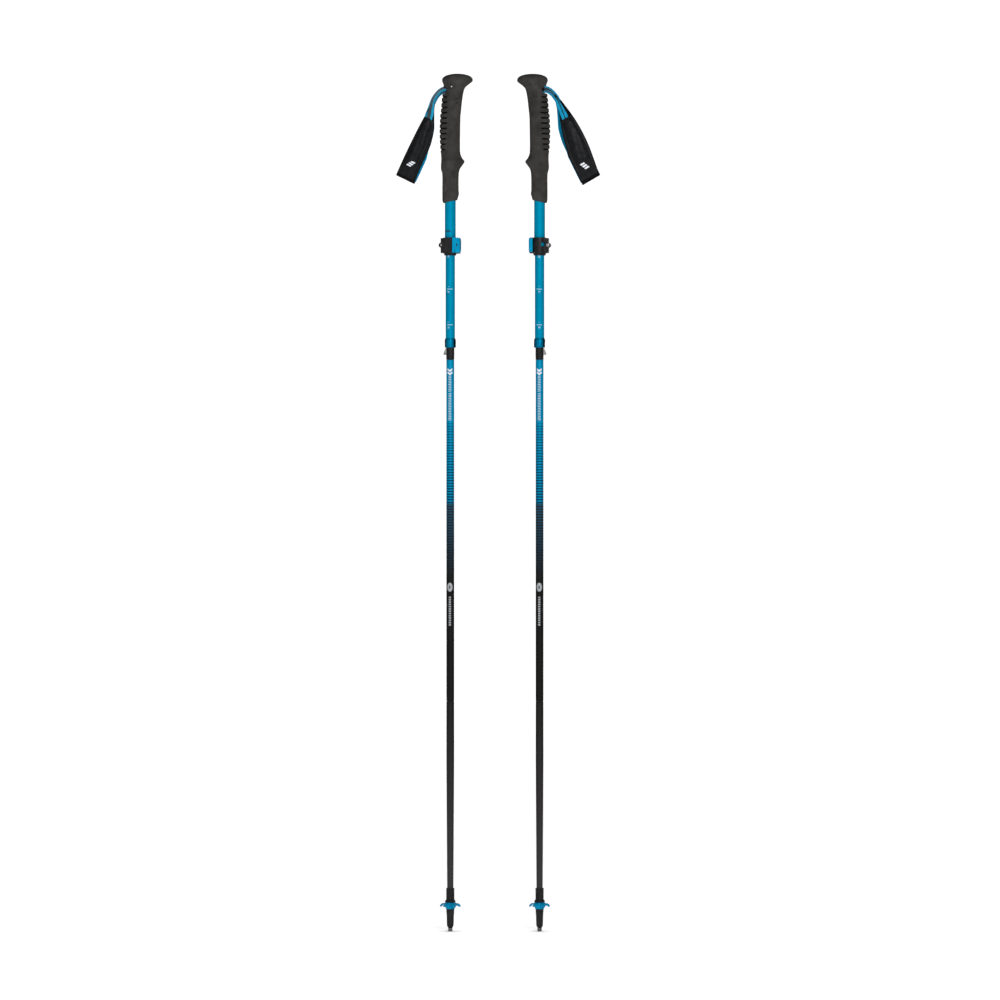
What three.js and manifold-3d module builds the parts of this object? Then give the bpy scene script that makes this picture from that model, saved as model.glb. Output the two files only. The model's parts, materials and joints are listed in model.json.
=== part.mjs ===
// A pair of folding trekking poles, in millimetres, +Z up.
// Each pole is built once in its own frame: shaft axis on Z, tip on z = 0, grip beak towards +X.
// The right pole is the left one turned half a turn about the point midway between them, with its
// strap hanging a little further out.
import * as THREE from "three";
import { mergeVertices } from "three/addons/utils/BufferGeometryUtils.js";
import Module from "manifold-3d";

const wasm = await Module();
wasm.setup();

// ---- Driving dimensions ----------------------------------------------------
const POLE_LENGTH = 1200; // set at the 120 cm mark
const AXIS_SPACING = 125; // between the two shafts
const YAW_DEG = -6; // how far each beak turns from the line between the shafts
const GAP = 0.3; // clearance between pieces that touch or slide
const REACH = 20; // how far a cutter passes beyond what it cuts

const SIDES = 16; // facets round a tube
const THIN_SIDES = 8; // facets round a cord or a pin

// Radii of the nested tubes
const UPPER_R = 7.6;
const UPPER_BORE = 6.9;
const ADJUSTER_R = 6.55;
const ADJUSTER_BORE = 6.05;
const SLEEVE_R = 5.75;
const SLEEVE_BORE = 4.9;
const SHAFT_R = 5.5; // middle and lower sections
const SHAFT_BORE = 4.9;
const CORD_R = 1;
const CORD_HOLE = 1.5;

// Heights above the tip
const LOWER_FOLD_Z = 322;
const UPPER_FOLD_Z = 800;
const COLLAR_Z = 817;
const COLLAR_TOP = 830;
const LOCK_Z = 946;
const LOCK_TOP = 971;
const LOCK_SHOULDER = 955.5; // where the upper shaft ends inside the clamp
const GRIP_BOTTOM = 1021.5;
const HEAD_Z = 1163; // top of the upper shaft, under the grip's head
const KNOB_Z = 1191; // widest level of the knob

// Folding joints: each section turns about a point this far outside the shaft
const FOLD_OFFSET = 12;
const SPIGOT_HEIGHT = 6;
const SPIGOT_SOCKET = 20; // how far the cone's plug reaches into its own tube

// Release button: a wedge, flush at its top and proud at its lower end
const BUTTON = { bottom: 806.8, top: 816.3, width: 4.4, press: 3.6, inner: -4.9 };

// Wrist strap: the band's lower end, its lean from upright and its width
const BAND = { x: -63.1, z: 1053.8, leanDeg: 26.1, width: 28.9, inner: 6, outer: 8.5 };
const STRAP_SLOT = { z: 1178, height: 10, width: 16 };
const STRAP_PIVOT = { x: -9.4, z: 1178 }; // the slot's mouth
const STRAP_SWING_DEG = { left: 0, right: 4 }; // how far each strap hangs out from its rest

// ---- Materials -------------------------------------------------------------
const finish = (color, roughness, metalness) =>
  new THREE.MeshStandardMaterial({ color, roughness, metalness });
const MATERIALS = {
  blue: finish(0x0087b4, 0.3, 0.7),
  carbon: finish(0x232222, 0.35, 0.1),
  foam: finish(0x2e2c29, 0.95, 0),
  plastic: finish(0x1c1b1a, 0.6, 0),
  bluePlastic: finish(0x1296cf, 0.4, 0),
  steel: finish(0xb9bcbf, 0.35, 1),
  carbide: finish(0x9a9a98, 0.45, 1),
  webbing: finish(0x1d1d20, 0.9, 0),
  cord: finish(0x2f2f31, 0.8, 0),
};

// ---- Solids ----------------------------------------------------------------

// Turns a closed geometry, or raw vertices and triangles, into a solid that faces out.
function solid(geometry) {
  const bare = geometry.clone();
  bare.deleteAttribute("normal");
  bare.deleteAttribute("uv");
  const merged = mergeVertices(bare, 1e-4);
  const index = merged.index.array;
  const kept = [];
  for (let i = 0; i < index.length; i += 3) {
    const [a, b, c] = [index[i], index[i + 1], index[i + 2]];
    if (a !== b && b !== c && c !== a) kept.push(a, b, c);
  }
  const made = (triangles) =>
    new wasm.Manifold(
      new wasm.Mesh({
        numProp: 3,
        vertProperties: new Float32Array(merged.attributes.position.array),
        triVerts: new Uint32Array(triangles),
      }),
    );
  const first = made(kept);
  if (first.volume() > 0) return first;
  const turned = [];
  for (let i = 0; i < kept.length; i += 3) turned.push(kept[i], kept[i + 2], kept[i + 1]);
  return made(turned);
}

// A solid's surface as a geometry for a mesh.
function geometryOf(shape) {
  const mesh = shape.getMesh();
  const geometry = new THREE.BufferGeometry();
  geometry.setAttribute(
    "position",
    new THREE.BufferAttribute(new Float32Array(mesh.vertProperties), 3),
  );
  geometry.setIndex(new THREE.BufferAttribute(new Uint32Array(mesh.triVerts), 1));
  geometry.computeVertexNormals();
  return geometry;
}

const union = (shapes) => shapes.reduce((whole, shape) => whole.add(shape));

// A turned shape about Z from [radius, z] points that start and end on the axis or close on themselves.
function turned(points, sides = SIDES) {
  const profile = points.map(([r, z]) => new THREE.Vector2(r, z));
  return solid(new THREE.LatheGeometry(profile, sides).rotateX(Math.PI / 2));
}

// A tube with one outer and one inner radius.
const tube = (outer, inner, low, high, sides = SIDES) =>
  turned(
    [
      [inner, low],
      [outer, low],
      [outer, high],
      [inner, high],
      [inner, low],
    ],
    sides,
  );

// A solid rod on the Z axis.
const rod = (radius, low, high, sides = SIDES) =>
  turned(
    [
      [0, low],
      [radius, low],
      [radius, high],
      [0, high],
    ],
    sides,
  );

// A box from its lowest to its highest corner.
function box([x0, y0, z0], [x1, y1, z1]) {
  const shape = new THREE.BoxGeometry(x1 - x0, y1 - y0, z1 - z0);
  return solid(shape.translate((x0 + x1) / 2, (y0 + y1) / 2, (z0 + z1) / 2));
}

// A plan outline in XY raised from one height to another.
function raised(outline, low, high) {
  const shape = new THREE.Shape(outline.map(([x, y]) => new THREE.Vector2(x, y)));
  const made = new THREE.ExtrudeGeometry(shape, { depth: high - low, bevelEnabled: false });
  return solid(made.translate(0, 0, low));
}

// An outline in XZ given thickness along Y.
function slab(outline, nearY, farY) {
  const shape = new THREE.Shape(outline.map(([x, z]) => new THREE.Vector2(x, z)));
  const made = new THREE.ExtrudeGeometry(shape, { depth: farY - nearY, bevelEnabled: false });
  return solid(made.rotateX(Math.PI / 2).translate(0, farY, 0));
}

// A rod along Y through a point in the XZ plane.
function crossRod(radius, x, z, nearY, farY, sides = 12) {
  const made = new THREE.CylinderGeometry(radius, radius, farY - nearY, sides);
  return solid(made.translate(x, (nearY + farY) / 2, z));
}

// A closed skin through rings of points that run from the lowest to the highest.
function lofted(rings) {
  const sides = rings[0].length;
  const points = rings.flat();
  const centre = (ring) => {
    const sum = ring.reduce((total, p) => total.map((v, i) => v + p[i]), [0, 0, 0]);
    return sum.map((v) => v / ring.length);
  };
  points.push(centre(rings[0]), centre(rings.at(-1)));
  const [lowest, highest] = [points.length - 2, points.length - 1];
  const faces = [];
  for (let side = 0; side < sides; side++) {
    const next = (side + 1) % sides;
    faces.push(lowest, next, side);
    for (let ring = 0; ring < rings.length - 1; ring++) {
      const [a, b] = [ring * sides + side, ring * sides + next];
      faces.push(a, b, b + sides, a, b + sides, a + sides);
    }
    const top = (rings.length - 1) * sides;
    faces.push(highest, top + side, top + next);
  }
  const geometry = new THREE.BufferGeometry();
  geometry.setAttribute("position", new THREE.Float32BufferAttribute(points.flat(), 3));
  geometry.setIndex(faces);
  return solid(geometry);
}

// ---- Grip ------------------------------------------------------------------

// Levels of the foam below the knob: height, reach of the beak side, reach of the back, half width.
const GRIP_LEVELS = [
  [GRIP_BOTTOM, 10.4, -10.3, 10.3],
  [1026, 11.2, -11.1, 11],
  [1032, 12.2, -11.2, 11.2],
  [1038, 11.7, -11.2, 11.2],
  [1060, 12, -11.3, 11.3],
  [1067, 13.5, -13, 11.8],
  [1071.5, 16.5, -13.2, 12.3],
  [1077.5, 20.1, -12.8, 12.6],
  [1082, 16.9, -12.7, 12.7],
  [1088, 14.3, -13, 12.8],
  [1094, 13.7, -13.9, 12.9],
  [1116, 13.8, -15, 12.9],
  [1140, 14.3, -14.3, 12.7],
  [1150, 15.3, -13.1, 12.4],
  [1164, 16.8, -12, 12],
  [1173, 18.3, -10.7, 11.8],
  [1180, 20.4, -9.5, 12],
  [1184, 24.4, -9.4, 13.2],
  [1187.5, 29, -10.5, 14.4],
];
const KNOB = { front: 31.4, back: -11.4, width: 15.2, centre: 9.9, power: 2 };
const KNOB_RISES = [0, 0.35, 0.62, 0.82, 0.95, 0.995]; // shares of the crown's height
const CROWN_Z = POLE_LENGTH + 0.5; // the foam's crown, as if its last ring were a point
const BOTTOM_SLANT = 0.22; // the foam's lower edge rises towards the beak
const GRIP_SIDES = 20;
const GROOVES = {
  count: 11,
  low: 1094,
  pitch: 7.35,
  depth: 1.2,
  height: 1.7,
  halfArcDeg: 70,
  steps: 4,
  outside: 4, // how far the cutter passes outside the foam
};
const HEAD = { x: 3.2, r: 9.5, top: 1190.5, slot: 8 };
const PIN = { x: 1.7, z: 1182, r: 1.4, near: -11.9, far: 8.5 };

function gripRing(z, front, back, halfWidth, slant = 0) {
  const [middle, reach] = [(front + back) / 2, (front - back) / 2];
  return Array.from({ length: GRIP_SIDES }, (_, i) => {
    const angle = (2 * Math.PI * i) / GRIP_SIDES;
    const x = middle + reach * Math.cos(angle);
    return [x, halfWidth * Math.sin(angle), z + slant * x];
  });
}

// Reach of the beak side, reach of the back and half width of the foam, between the listed levels.
function gripSection(z) {
  const above = GRIP_LEVELS.findIndex(([level]) => level >= z);
  const [a, b] = [GRIP_LEVELS[above - 1], GRIP_LEVELS[above]];
  const share = (z - a[0]) / (b[0] - a[0]);
  return [a[1], a[2], a[3]].map((v, i) => v + (b[i + 1] - v) * share);
}

// A crescent that cuts one finger groove into the back of the foam.
function grooveCutter(z) {
  const [front, back, halfWidth] = gripSection(z);
  const [middle, reach] = [(front + back) / 2, (front - back) / 2];
  const half = THREE.MathUtils.degToRad(GROOVES.halfArcDeg);
  const { steps, outside, depth } = GROOVES;
  const arc = (offset) =>
    Array.from({ length: steps + 1 }, (_, i) => {
      const angle = Math.PI - half + (2 * half * i) / steps;
      return [middle + (reach + offset) * Math.cos(angle), (halfWidth + offset) * Math.sin(angle)];
    });
  const outline = [...arc(outside), ...arc(-depth).reverse()];
  return raised(outline, z - GROOVES.height / 2, z + GROOVES.height / 2);
}

function gripFoam() {
  const rings = GRIP_LEVELS.map(([z, front, back, width], i) =>
    gripRing(z, front, back, width, i === 0 ? BOTTOM_SLANT : 0),
  );
  const dome = CROWN_Z - KNOB_Z;
  for (const rise of KNOB_RISES) {
    const spread = (1 - rise ** KNOB.power) ** (1 / KNOB.power);
    const front = KNOB.centre + (KNOB.front - KNOB.centre) * spread;
    const back = KNOB.centre + (KNOB.back - KNOB.centre) * spread;
    rings.push(gripRing(KNOB_Z + dome * rise, front, back, KNOB.width * spread));
  }
  let foam = lofted(rings);
  foam = foam.subtract(rod(UPPER_R + GAP, GRIP_BOTTOM - REACH, HEAD_Z + 1));
  const headRoom = rod(HEAD.r + GAP, HEAD_Z, HEAD.top + GAP).translate([HEAD.x, 0, 0]);
  foam = foam.subtract(headRoom);
  const { z, height, width } = STRAP_SLOT;
  const mouth = box([-REACH, -width / 2 - GAP, z - height / 2], [0, width / 2 + GAP, z + height / 2]);
  foam = foam.subtract(mouth);
  foam = foam.subtract(crossRod(PIN.r + GAP, PIN.x, PIN.z, -REACH, 0));
  for (let i = 0; i < GROOVES.count; i++) {
    foam = foam.subtract(grooveCutter(GROOVES.low + GROOVES.pitch * i));
  }
  return foam;
}

// The hard head inside the knob: it closes the shaft and holds the strap's wedge and pin.
function gripHead() {
  const { z, height, width } = STRAP_SLOT;
  const body = rod(HEAD.r, HEAD_Z + GAP, HEAD.top).translate([HEAD.x, 0, 0]);
  const slot = box([-REACH, -width / 2, z - height / 2], [HEAD.slot, width / 2, z + height / 2]);
  return body.subtract(slot).subtract(crossRod(PIN.r + GAP, PIN.x, PIN.z, -REACH, REACH));
}

const strapPin = () => crossRod(PIN.r, PIN.x, PIN.z, PIN.near, PIN.far);

function strapWedge() {
  const half = STRAP_SLOT.width / 2 - 0.8;
  const outline = [
    [-5.5, 1174.2],
    [7, 1173.6],
    [7, 1179.8],
    [-5.5, 1176.6],
  ];
  return slab(outline, -half, half);
}

// ---- Wrist strap -----------------------------------------------------------

// A point on the band: u up along it from its lower end, w across it towards the shaft.
function bandPoint(u, w) {
  const lean = THREE.MathUtils.degToRad(BAND.leanDeg);
  const [up, across] = [
    [Math.sin(lean), Math.cos(lean)],
    [Math.cos(lean), -Math.sin(lean)],
  ];
  return [BAND.x + u * up[0] + w * across[0], BAND.z + u * up[1] + w * across[1]];
}

// The band's outline: straight on its outer edge, narrowing on its inner edge to the webbing.
const BAND_EDGE = [
  [49, 14.2],
  [68, 10],
  [82, 4.5],
];
const BAND_TOP = 82;
const BAND_FOLD = 9; // height of the fold at the band's lower end

// One half of the padded band, on the side of Y given by its sign, with its turned-in lower end.
function strapBand(side) {
  const half = BAND.width / 2;
  const outline = [[0, -half], [0, half], ...BAND_EDGE, [BAND_TOP, -half]];
  const placed = (points) => points.map(([u, w]) => bandPoint(u, w));
  const near = (a, b) => [Math.min(side * a, side * b), Math.max(side * a, side * b)];
  const fold = [
    [0, -half],
    [0, half],
    [BAND_FOLD, half],
    [BAND_FOLD, -half],
  ];
  const wall = slab(placed(outline), ...near(BAND.inner, BAND.outer));
  return wall.add(slab(placed(fold), ...near(GAP / 2, BAND.outer - 1)));
}

// The webbing from the slot's mouth to the top of the band.
function strapWebbing() {
  const [outer, inner] = [-BAND.width / 2 + 0.5, 4];
  const outline = [
    [-9.4, 1182],
    [-9.4, 1174],
    [-12.6, 1171.8],
    [-18.8, 1163.4],
    [-22.3, 1152.2],
    bandPoint(BAND_TOP + GAP, inner),
    bandPoint(BAND_TOP + GAP, outer),
    bandPoint(110, outer),
    [-20.7, 1172.8],
    [-15.1, 1179.4],
  ];
  return slab(outline, -BAND.outer + 1, BAND.outer - 1);
}

// ---- Upper shaft and lever lock --------------------------------------------

const SCREW = { x: -12.2, z: 960.3, r: 1.3, reach: 8 };
const SCREW_HEAD = { r: 2.3, near: -8.9, far: -7.1 };
const NUT = { r: 2.9, near: 7.1, far: 9 };
const HINGE = { x: 11.8, y: 6.3, r: 1.2, barrel: 2.9, low: 953.5, high: 967 };
const EAR = { x: -14.2, y: 6.8, low: 949.5, high: 970, inner: 8.4 };
const BOSS_R = 3.9;
const SLIT = 0.6; // half the width of the clamp's slit
const LEVER_LOW = 949.6;
const LEVER_SWEEP_R = 9.9; // the lever's inner face clears the clamp by this radius

const upperShaft = () => tube(UPPER_R, UPPER_BORE, LOCK_SHOULDER, HEAD_Z);

function lockClamp() {
  const ring = turned([
    [ADJUSTER_R + GAP, LOCK_Z],
    [8.6, LOCK_Z],
    [8.8, 948],
    [9.6, 948.6],
    [9.6, LOCK_TOP],
    [UPPER_R + GAP, LOCK_TOP],
    [UPPER_R + GAP, LOCK_SHOULDER - GAP],
    [ADJUSTER_R + GAP, LOCK_SHOULDER - GAP],
    [ADJUSTER_R + GAP, LOCK_Z],
  ]);
  const ears = box([EAR.x, -EAR.y, EAR.low], [-EAR.inner, EAR.y, EAR.high]);
  const boss = crossRod(BOSS_R, SCREW.x, SCREW.z, -EAR.y, EAR.y, 16);
  const knuckle = (low, high) =>
    rod(HINGE.barrel, low, high, 16)
      .translate([HINGE.x, HINGE.y, 0])
      .add(box([6, 4, low], [HINGE.x, HINGE.y + HINGE.barrel - 0.2, high]))
      .subtract(rod(UPPER_R + GAP + 0.5, low - 1, high + 1));
  const whole = union([
    ring,
    ears.add(boss).subtract(rod(EAR.inner, LOCK_Z, LOCK_TOP + 1)),
    knuckle(948.6, HINGE.low - GAP),
    knuckle(HINGE.high + GAP, LOCK_TOP),
  ]);
  return whole
    .subtract(box([-REACH, -SLIT, LOCK_Z - 1], [-6, SLIT, LOCK_TOP + 1]))
    .subtract(box([-8.6, 4, 958.5], [-3.4, 12, 966.5]))
    .subtract(crossRod(SCREW.r + GAP, SCREW.x, SCREW.z, -REACH, REACH))
    .subtract(rod(HINGE.r + GAP, LOCK_Z - 1, LOCK_TOP + 1, 12).translate([HINGE.x, HINGE.y, 0]));
}

// The screw's head is on the lever's side, its nut on the other.
function lockScrew() {
  const stem = crossRod(SCREW.r, SCREW.x, SCREW.z, -SCREW.reach, SCREW.reach);
  const { r, near, far } = SCREW_HEAD;
  return stem.add(crossRod(r, SCREW.x, SCREW.z, near, far, SIDES));
}

function lockNut() {
  const nut = crossRod(NUT.r, SCREW.x, SCREW.z, NUT.near, NUT.far, 6);
  return nut.subtract(crossRod(SCREW.r + GAP, SCREW.x, SCREW.z, 0, REACH));
}

const lockPin = () =>
  rod(HINGE.r, 949, LOCK_TOP - 0.4, 12).translate([HINGE.x, HINGE.y, 0]);

// The lever wraps the beak side and ends on the near face; its barrel sits between the knuckles.
function lockLever() {
  const outline = [
    [3.8, -12],
    [11.6, -11.7],
    [14.2, -10.4],
    [15.1, -8],
    [15.1, 2.6],
    [11.2, 2.6],
    [11.2, -4.4],
    [8.6, -8.4],
    [3.8, -10.4],
  ];
  const plate = raised(outline, LEVER_LOW, LOCK_TOP - 0.2);
  const [low, high] = [HINGE.low, HINGE.high];
  const arm = box([11.2, 2, low], [HINGE.x + HINGE.barrel, HINGE.y, high]);
  const barrel = rod(HINGE.barrel, low, high, 16).translate([HINGE.x, HINGE.y, 0]);
  const whole = union([plate, arm, barrel]);
  const bore = rod(HINGE.r + GAP, low - 1, high + 1, 12).translate([HINGE.x, HINGE.y, 0]);
  const dimple = box([9.8, -13, 957.5], [12, -11, 962]);
  return whole.subtract(bore).subtract(dimple).subtract(rod(LEVER_SWEEP_R, LEVER_LOW - 1, LOCK_TOP + 1));
}

// ---- Adjusting shaft, release sleeve and button ----------------------------

const ADJUSTER_TOP = 1058;
const NOTCH_TOP = 824; // the collar's notch that the button slides into
const SLEEVE_TOP = 875;
const ANCHOR = { low: 900, high: 908 };

const adjustingShaft = () =>
  tube(ADJUSTER_R, ADJUSTER_BORE, NOTCH_TOP + GAP, ADJUSTER_TOP);

const shaftBush = () =>
  turned([
    [0, ADJUSTER_TOP - 12],
    [ADJUSTER_BORE - GAP, ADJUSTER_TOP - 12],
    [ADJUSTER_BORE - GAP, ADJUSTER_TOP + GAP],
    [ADJUSTER_R, ADJUSTER_TOP + GAP],
    [ADJUSTER_R, ADJUSTER_TOP + 3.5],
    [ADJUSTER_BORE, ADJUSTER_TOP + 4.2],
    [0, ADJUSTER_TOP + 4.2],
  ]);

function endCollar() {
  const ring = turned([
    [ADJUSTER_BORE, COLLAR_Z],
    [7.5, COLLAR_Z],
    [7.85, COLLAR_Z + 0.6],
    [7.85, COLLAR_TOP - 1],
    [7.1, COLLAR_TOP],
    [ADJUSTER_R + GAP, COLLAR_TOP],
    [ADJUSTER_R + GAP, NOTCH_TOP],
    [ADJUSTER_BORE, NOTCH_TOP],
    [ADJUSTER_BORE, COLLAR_Z],
  ]);
  const half = BUTTON.width / 2 + GAP;
  return ring.subtract(box([-REACH, -half, COLLAR_Z - 1], [-4, half, NOTCH_TOP]));
}

const cordAnchor = () =>
  tube(ADJUSTER_BORE - GAP, CORD_HOLE, ANCHOR.low, ANCHOR.high);

function releaseSleeve() {
  const half = BUTTON.width / 2 + GAP;
  const wall = tube(SLEEVE_R, SLEEVE_BORE, UPPER_FOLD_Z + GAP / 2, SLEEVE_TOP);
  const window = [
    [-REACH, -half, BUTTON.bottom - GAP],
    [-2, half, BUTTON.top + GAP],
  ];
  return wall.subtract(box(...window));
}

// The wedge's face keeps the bore's curve, so that it passes into the collar when pressed.
function releaseButton() {
  const half = BUTTON.width / 2;
  const curve = (y) => -BUTTON.press - Math.sqrt(5.85 ** 2 - y ** 2);
  const face = [-1, -0.5, 0, 0.5, 1].map((share) => [curve(share * half), share * half]);
  const plan = [...face, [BUTTON.inner, half], [BUTTON.inner, -half]];
  const ramp = [
    [BUTTON.inner, BUTTON.bottom],
    [-9.6, BUTTON.bottom],
    [-5.9, BUTTON.top],
    [BUTTON.inner, BUTTON.top],
  ];
  return raised(plan, BUTTON.bottom, BUTTON.top).intersect(slab(ramp, -half - 1, half + 1));
}

const buttonSpring = () => box([-4.3, -1.4, BUTTON.bottom + 0.8], [-4, 1.4, BUTTON.top + 6]);

// ---- Folding sections and cord ---------------------------------------------

// A cone that seats in the tube above. Its curve lets it turn out about the offset fold point.
function foldCone(z) {
  const base = SHAFT_BORE - GAP;
  const steps = 4;
  const profile = [
    [CORD_HOLE, z - SPIGOT_SOCKET],
    [base, z - SPIGOT_SOCKET],
  ];
  for (let i = 0; i <= steps; i++) {
    const height = (SPIGOT_HEIGHT * i) / steps;
    const radius = Math.sqrt((FOLD_OFFSET + base) ** 2 - height ** 2) - FOLD_OFFSET;
    profile.push([radius, z + height]);
  }
  profile.push([CORD_HOLE, z + SPIGOT_HEIGHT], [CORD_HOLE, z - SPIGOT_SOCKET]);
  return turned(profile);
}

// The cord's stretch in the sleeve, stopped by a knot above its anchor.
const cordUpper = () =>
  turned(
    [
      [0, UPPER_FOLD_Z + SPIGOT_HEIGHT + 2 * GAP],
      [CORD_R, UPPER_FOLD_Z + SPIGOT_HEIGHT + 2 * GAP],
      [CORD_R, ANCHOR.high + GAP],
      [2.8, ANCHOR.high + GAP],
      [3, ANCHOR.high + 2.4],
      [2, ANCHOR.high + 4.6],
      [0, ANCHOR.high + 4.6],
    ],
    THIN_SIDES,
  );

const middleShaft = () =>
  tube(SHAFT_R, SHAFT_BORE, LOWER_FOLD_Z + GAP / 2, UPPER_FOLD_Z - GAP / 2);

const cordMiddle = () =>
  rod(
    CORD_R,
    LOWER_FOLD_Z + SPIGOT_HEIGHT + 2 * GAP,
    UPPER_FOLD_Z + SPIGOT_HEIGHT,
    THIN_SIDES,
  );

// ---- Lower section ---------------------------------------------------------

const TAPER = { low: 62, high: 240, r: 4.4, bore: 3.8 };
const HOLDER_TOP = 60.5;
const SHAFT_END = 31;
const BASKET = { low: 31.3, high: 40.2, seat: 5.3, bore: 5.8, hub: 8.8, reach: 15, lobes: 6 };
const FLANGE = { low: 40.5, high: 44.4, r: 7.5 };

const lowerShaft = () =>
  turned([
    [TAPER.bore, SHAFT_END],
    [TAPER.r, SHAFT_END],
    [TAPER.r, TAPER.low],
    [SHAFT_R, TAPER.high],
    [SHAFT_R, LOWER_FOLD_Z - GAP / 2],
    [SHAFT_BORE, LOWER_FOLD_Z - GAP / 2],
    [SHAFT_BORE, TAPER.high],
    [TAPER.bore, TAPER.low],
    [TAPER.bore, SHAFT_END],
  ]);

const cordLower = () => {
  const under = LOWER_FOLD_Z - SPIGOT_SOCKET - GAP;
  return turned(
    [
      [0, under - 5],
      [2, under - 5],
      [3, under - 2.5],
      [2.8, under],
      [CORD_R, under],
      [CORD_R, LOWER_FOLD_Z + SPIGOT_HEIGHT],
      [0, LOWER_FOLD_Z + SPIGOT_HEIGHT],
    ],
    THIN_SIDES,
  );
};

function tipHolder() {
  const outer = turned([
    [0, 4.5],
    [3, 4.5],
    [4.8, 8],
    [4.9, 12],
    [5.1, 22],
    [5.6, 27.8],
    [5.3, 28.2],
    [5.65, 28.6],
    [5.65, 31],
    [BASKET.seat, 31],
    [BASKET.seat, FLANGE.low],
    [6.4, FLANGE.low],
    [FLANGE.r, 41.4],
    [FLANGE.r, 42.6],
    [6.2, FLANGE.high],
    [5.8, FLANGE.high],
    [5.8, 59.4],
    [6, 59.6],
    [6, HOLDER_TOP],
    [0, HOLDER_TOP],
  ]);
  const socket = rod(TAPER.r + GAP, SHAFT_END - GAP, HOLDER_TOP + 1);
  return outer.subtract(socket).subtract(rod(1.9, 0, 14.3, 12));
}

const carbideTip = () =>
  turned([
    [0, 0],
    [2.5, 0],
    [3.15, 1.4],
    [3.15, 4.2],
    [1.6, 4.2],
    [1.6, 14],
    [0, 14],
  ]);

// A small basket: a hub with a thin lobed skirt.
function basket() {
  const hub = turned([
    [BASKET.bore, BASKET.low],
    [6.4, BASKET.low],
    [BASKET.hub, 38.6],
    [BASKET.hub, BASKET.high],
    [BASKET.bore, BASKET.high],
    [BASKET.bore, BASKET.low],
  ]);
  const steps = 36;
  const outline = Array.from({ length: steps }, (_, i) => {
    const angle = (2 * Math.PI * i) / steps;
    const reach = BASKET.reach - 1.5 + 1.5 * Math.cos(BASKET.lobes * angle);
    return [reach * Math.cos(angle), reach * Math.sin(angle)];
  });
  const skirt = raised(outline, 34, 36.6).subtract(rod(BASKET.bore + 0.2, 30, 42));
  return hub.add(skirt);
}

// ---- Assembly --------------------------------------------------------------

const PIECES = [
  ["grip_foam", gripFoam(), "foam"],
  ["grip_head", gripHead(), "plastic"],
  ["strap_pin", strapPin(), "steel"],
  ["strap_wedge", strapWedge(), "plastic"],
  ["upper_shaft", upperShaft(), "blue"],
  ["lock_clamp", lockClamp(), "plastic"],
  ["lock_screw", lockScrew(), "steel"],
  ["lock_nut", lockNut(), "steel"],
  ["lock_pin", lockPin(), "steel"],
  ["lock_lever", lockLever(), "bluePlastic"],
  ["strap_webbing", strapWebbing(), "webbing"],
  ["strap_band_near", strapBand(-1), "webbing"],
  ["strap_band_far", strapBand(1), "webbing"],
  ["adjusting_shaft", adjustingShaft(), "blue"],
  ["shaft_bush", shaftBush(), "plastic"],
  ["end_collar", endCollar(), "blue"],
  ["cord_anchor", cordAnchor(), "plastic"],
  ["release_sleeve", releaseSleeve(), "plastic"],
  ["release_button", releaseButton(), "steel"],
  ["button_spring", buttonSpring(), "steel"],
  ["cord_upper", cordUpper(), "cord"],
  ["middle_shaft", middleShaft(), "blue"],
  ["middle_cone", foldCone(UPPER_FOLD_Z), "plastic"],
  ["cord_middle", cordMiddle(), "cord"],
  ["lower_shaft", lowerShaft(), "carbon"],
  ["lower_cone", foldCone(LOWER_FOLD_Z), "plastic"],
  ["cord_lower", cordLower(), "cord"],
  ["tip_holder", tipHolder(), "plastic"],
  ["carbide_tip", carbideTip(), "carbide"],
  ["basket", basket(), "bluePlastic"],
];

// The pieces that hang from the slot.
const STRAP = ["strap_webbing", "strap_band_near", "strap_band_far"];

// Turns a piece of the strap about the slot's mouth, out from the shaft.
function swungOut(geometry, degrees) {
  const { x, z } = STRAP_PIVOT;
  geometry.translate(-x, 0, -z);
  geometry.rotateY(THREE.MathUtils.degToRad(degrees));
  geometry.translate(x, 0, z);
}

function pole(prefix, x, yawDeg) {
  const group = new THREE.Group();
  group.position.set(x, 0, 0);
  group.rotation.z = THREE.MathUtils.degToRad(yawDeg);
  for (const [name, shape, material] of PIECES) {
    const geometry = geometryOf(shape);
    if (STRAP.includes(name)) swungOut(geometry, STRAP_SWING_DEG[prefix]);
    const mesh = new THREE.Mesh(geometry, MATERIALS[material]);
    mesh.name = `${prefix}_${name}`;
    group.add(mesh);
  }
  return group;
}

const poles = new THREE.Group();
poles.add(pole("left", -AXIS_SPACING / 2, YAW_DEG));
poles.add(pole("right", AXIS_SPACING / 2, YAW_DEG + 180));

export default poles;
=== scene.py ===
"""A pair of folding trekking poles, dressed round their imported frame.

Each sub-assembly is a class that reads its sizes from the frame, builds its meshes in the pole's own
millimetre frame (shaft axis on Z, tip at zero, grip beak towards +X) and places them in the row's frame.
"""

from __future__ import annotations

import json
import logging
import math
from dataclasses import dataclass, field
from enum import Enum
from typing import Callable, Iterable, Sequence

import bmesh
import bpy
import numpy as np
from mathutils import Matrix, Vector


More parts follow.
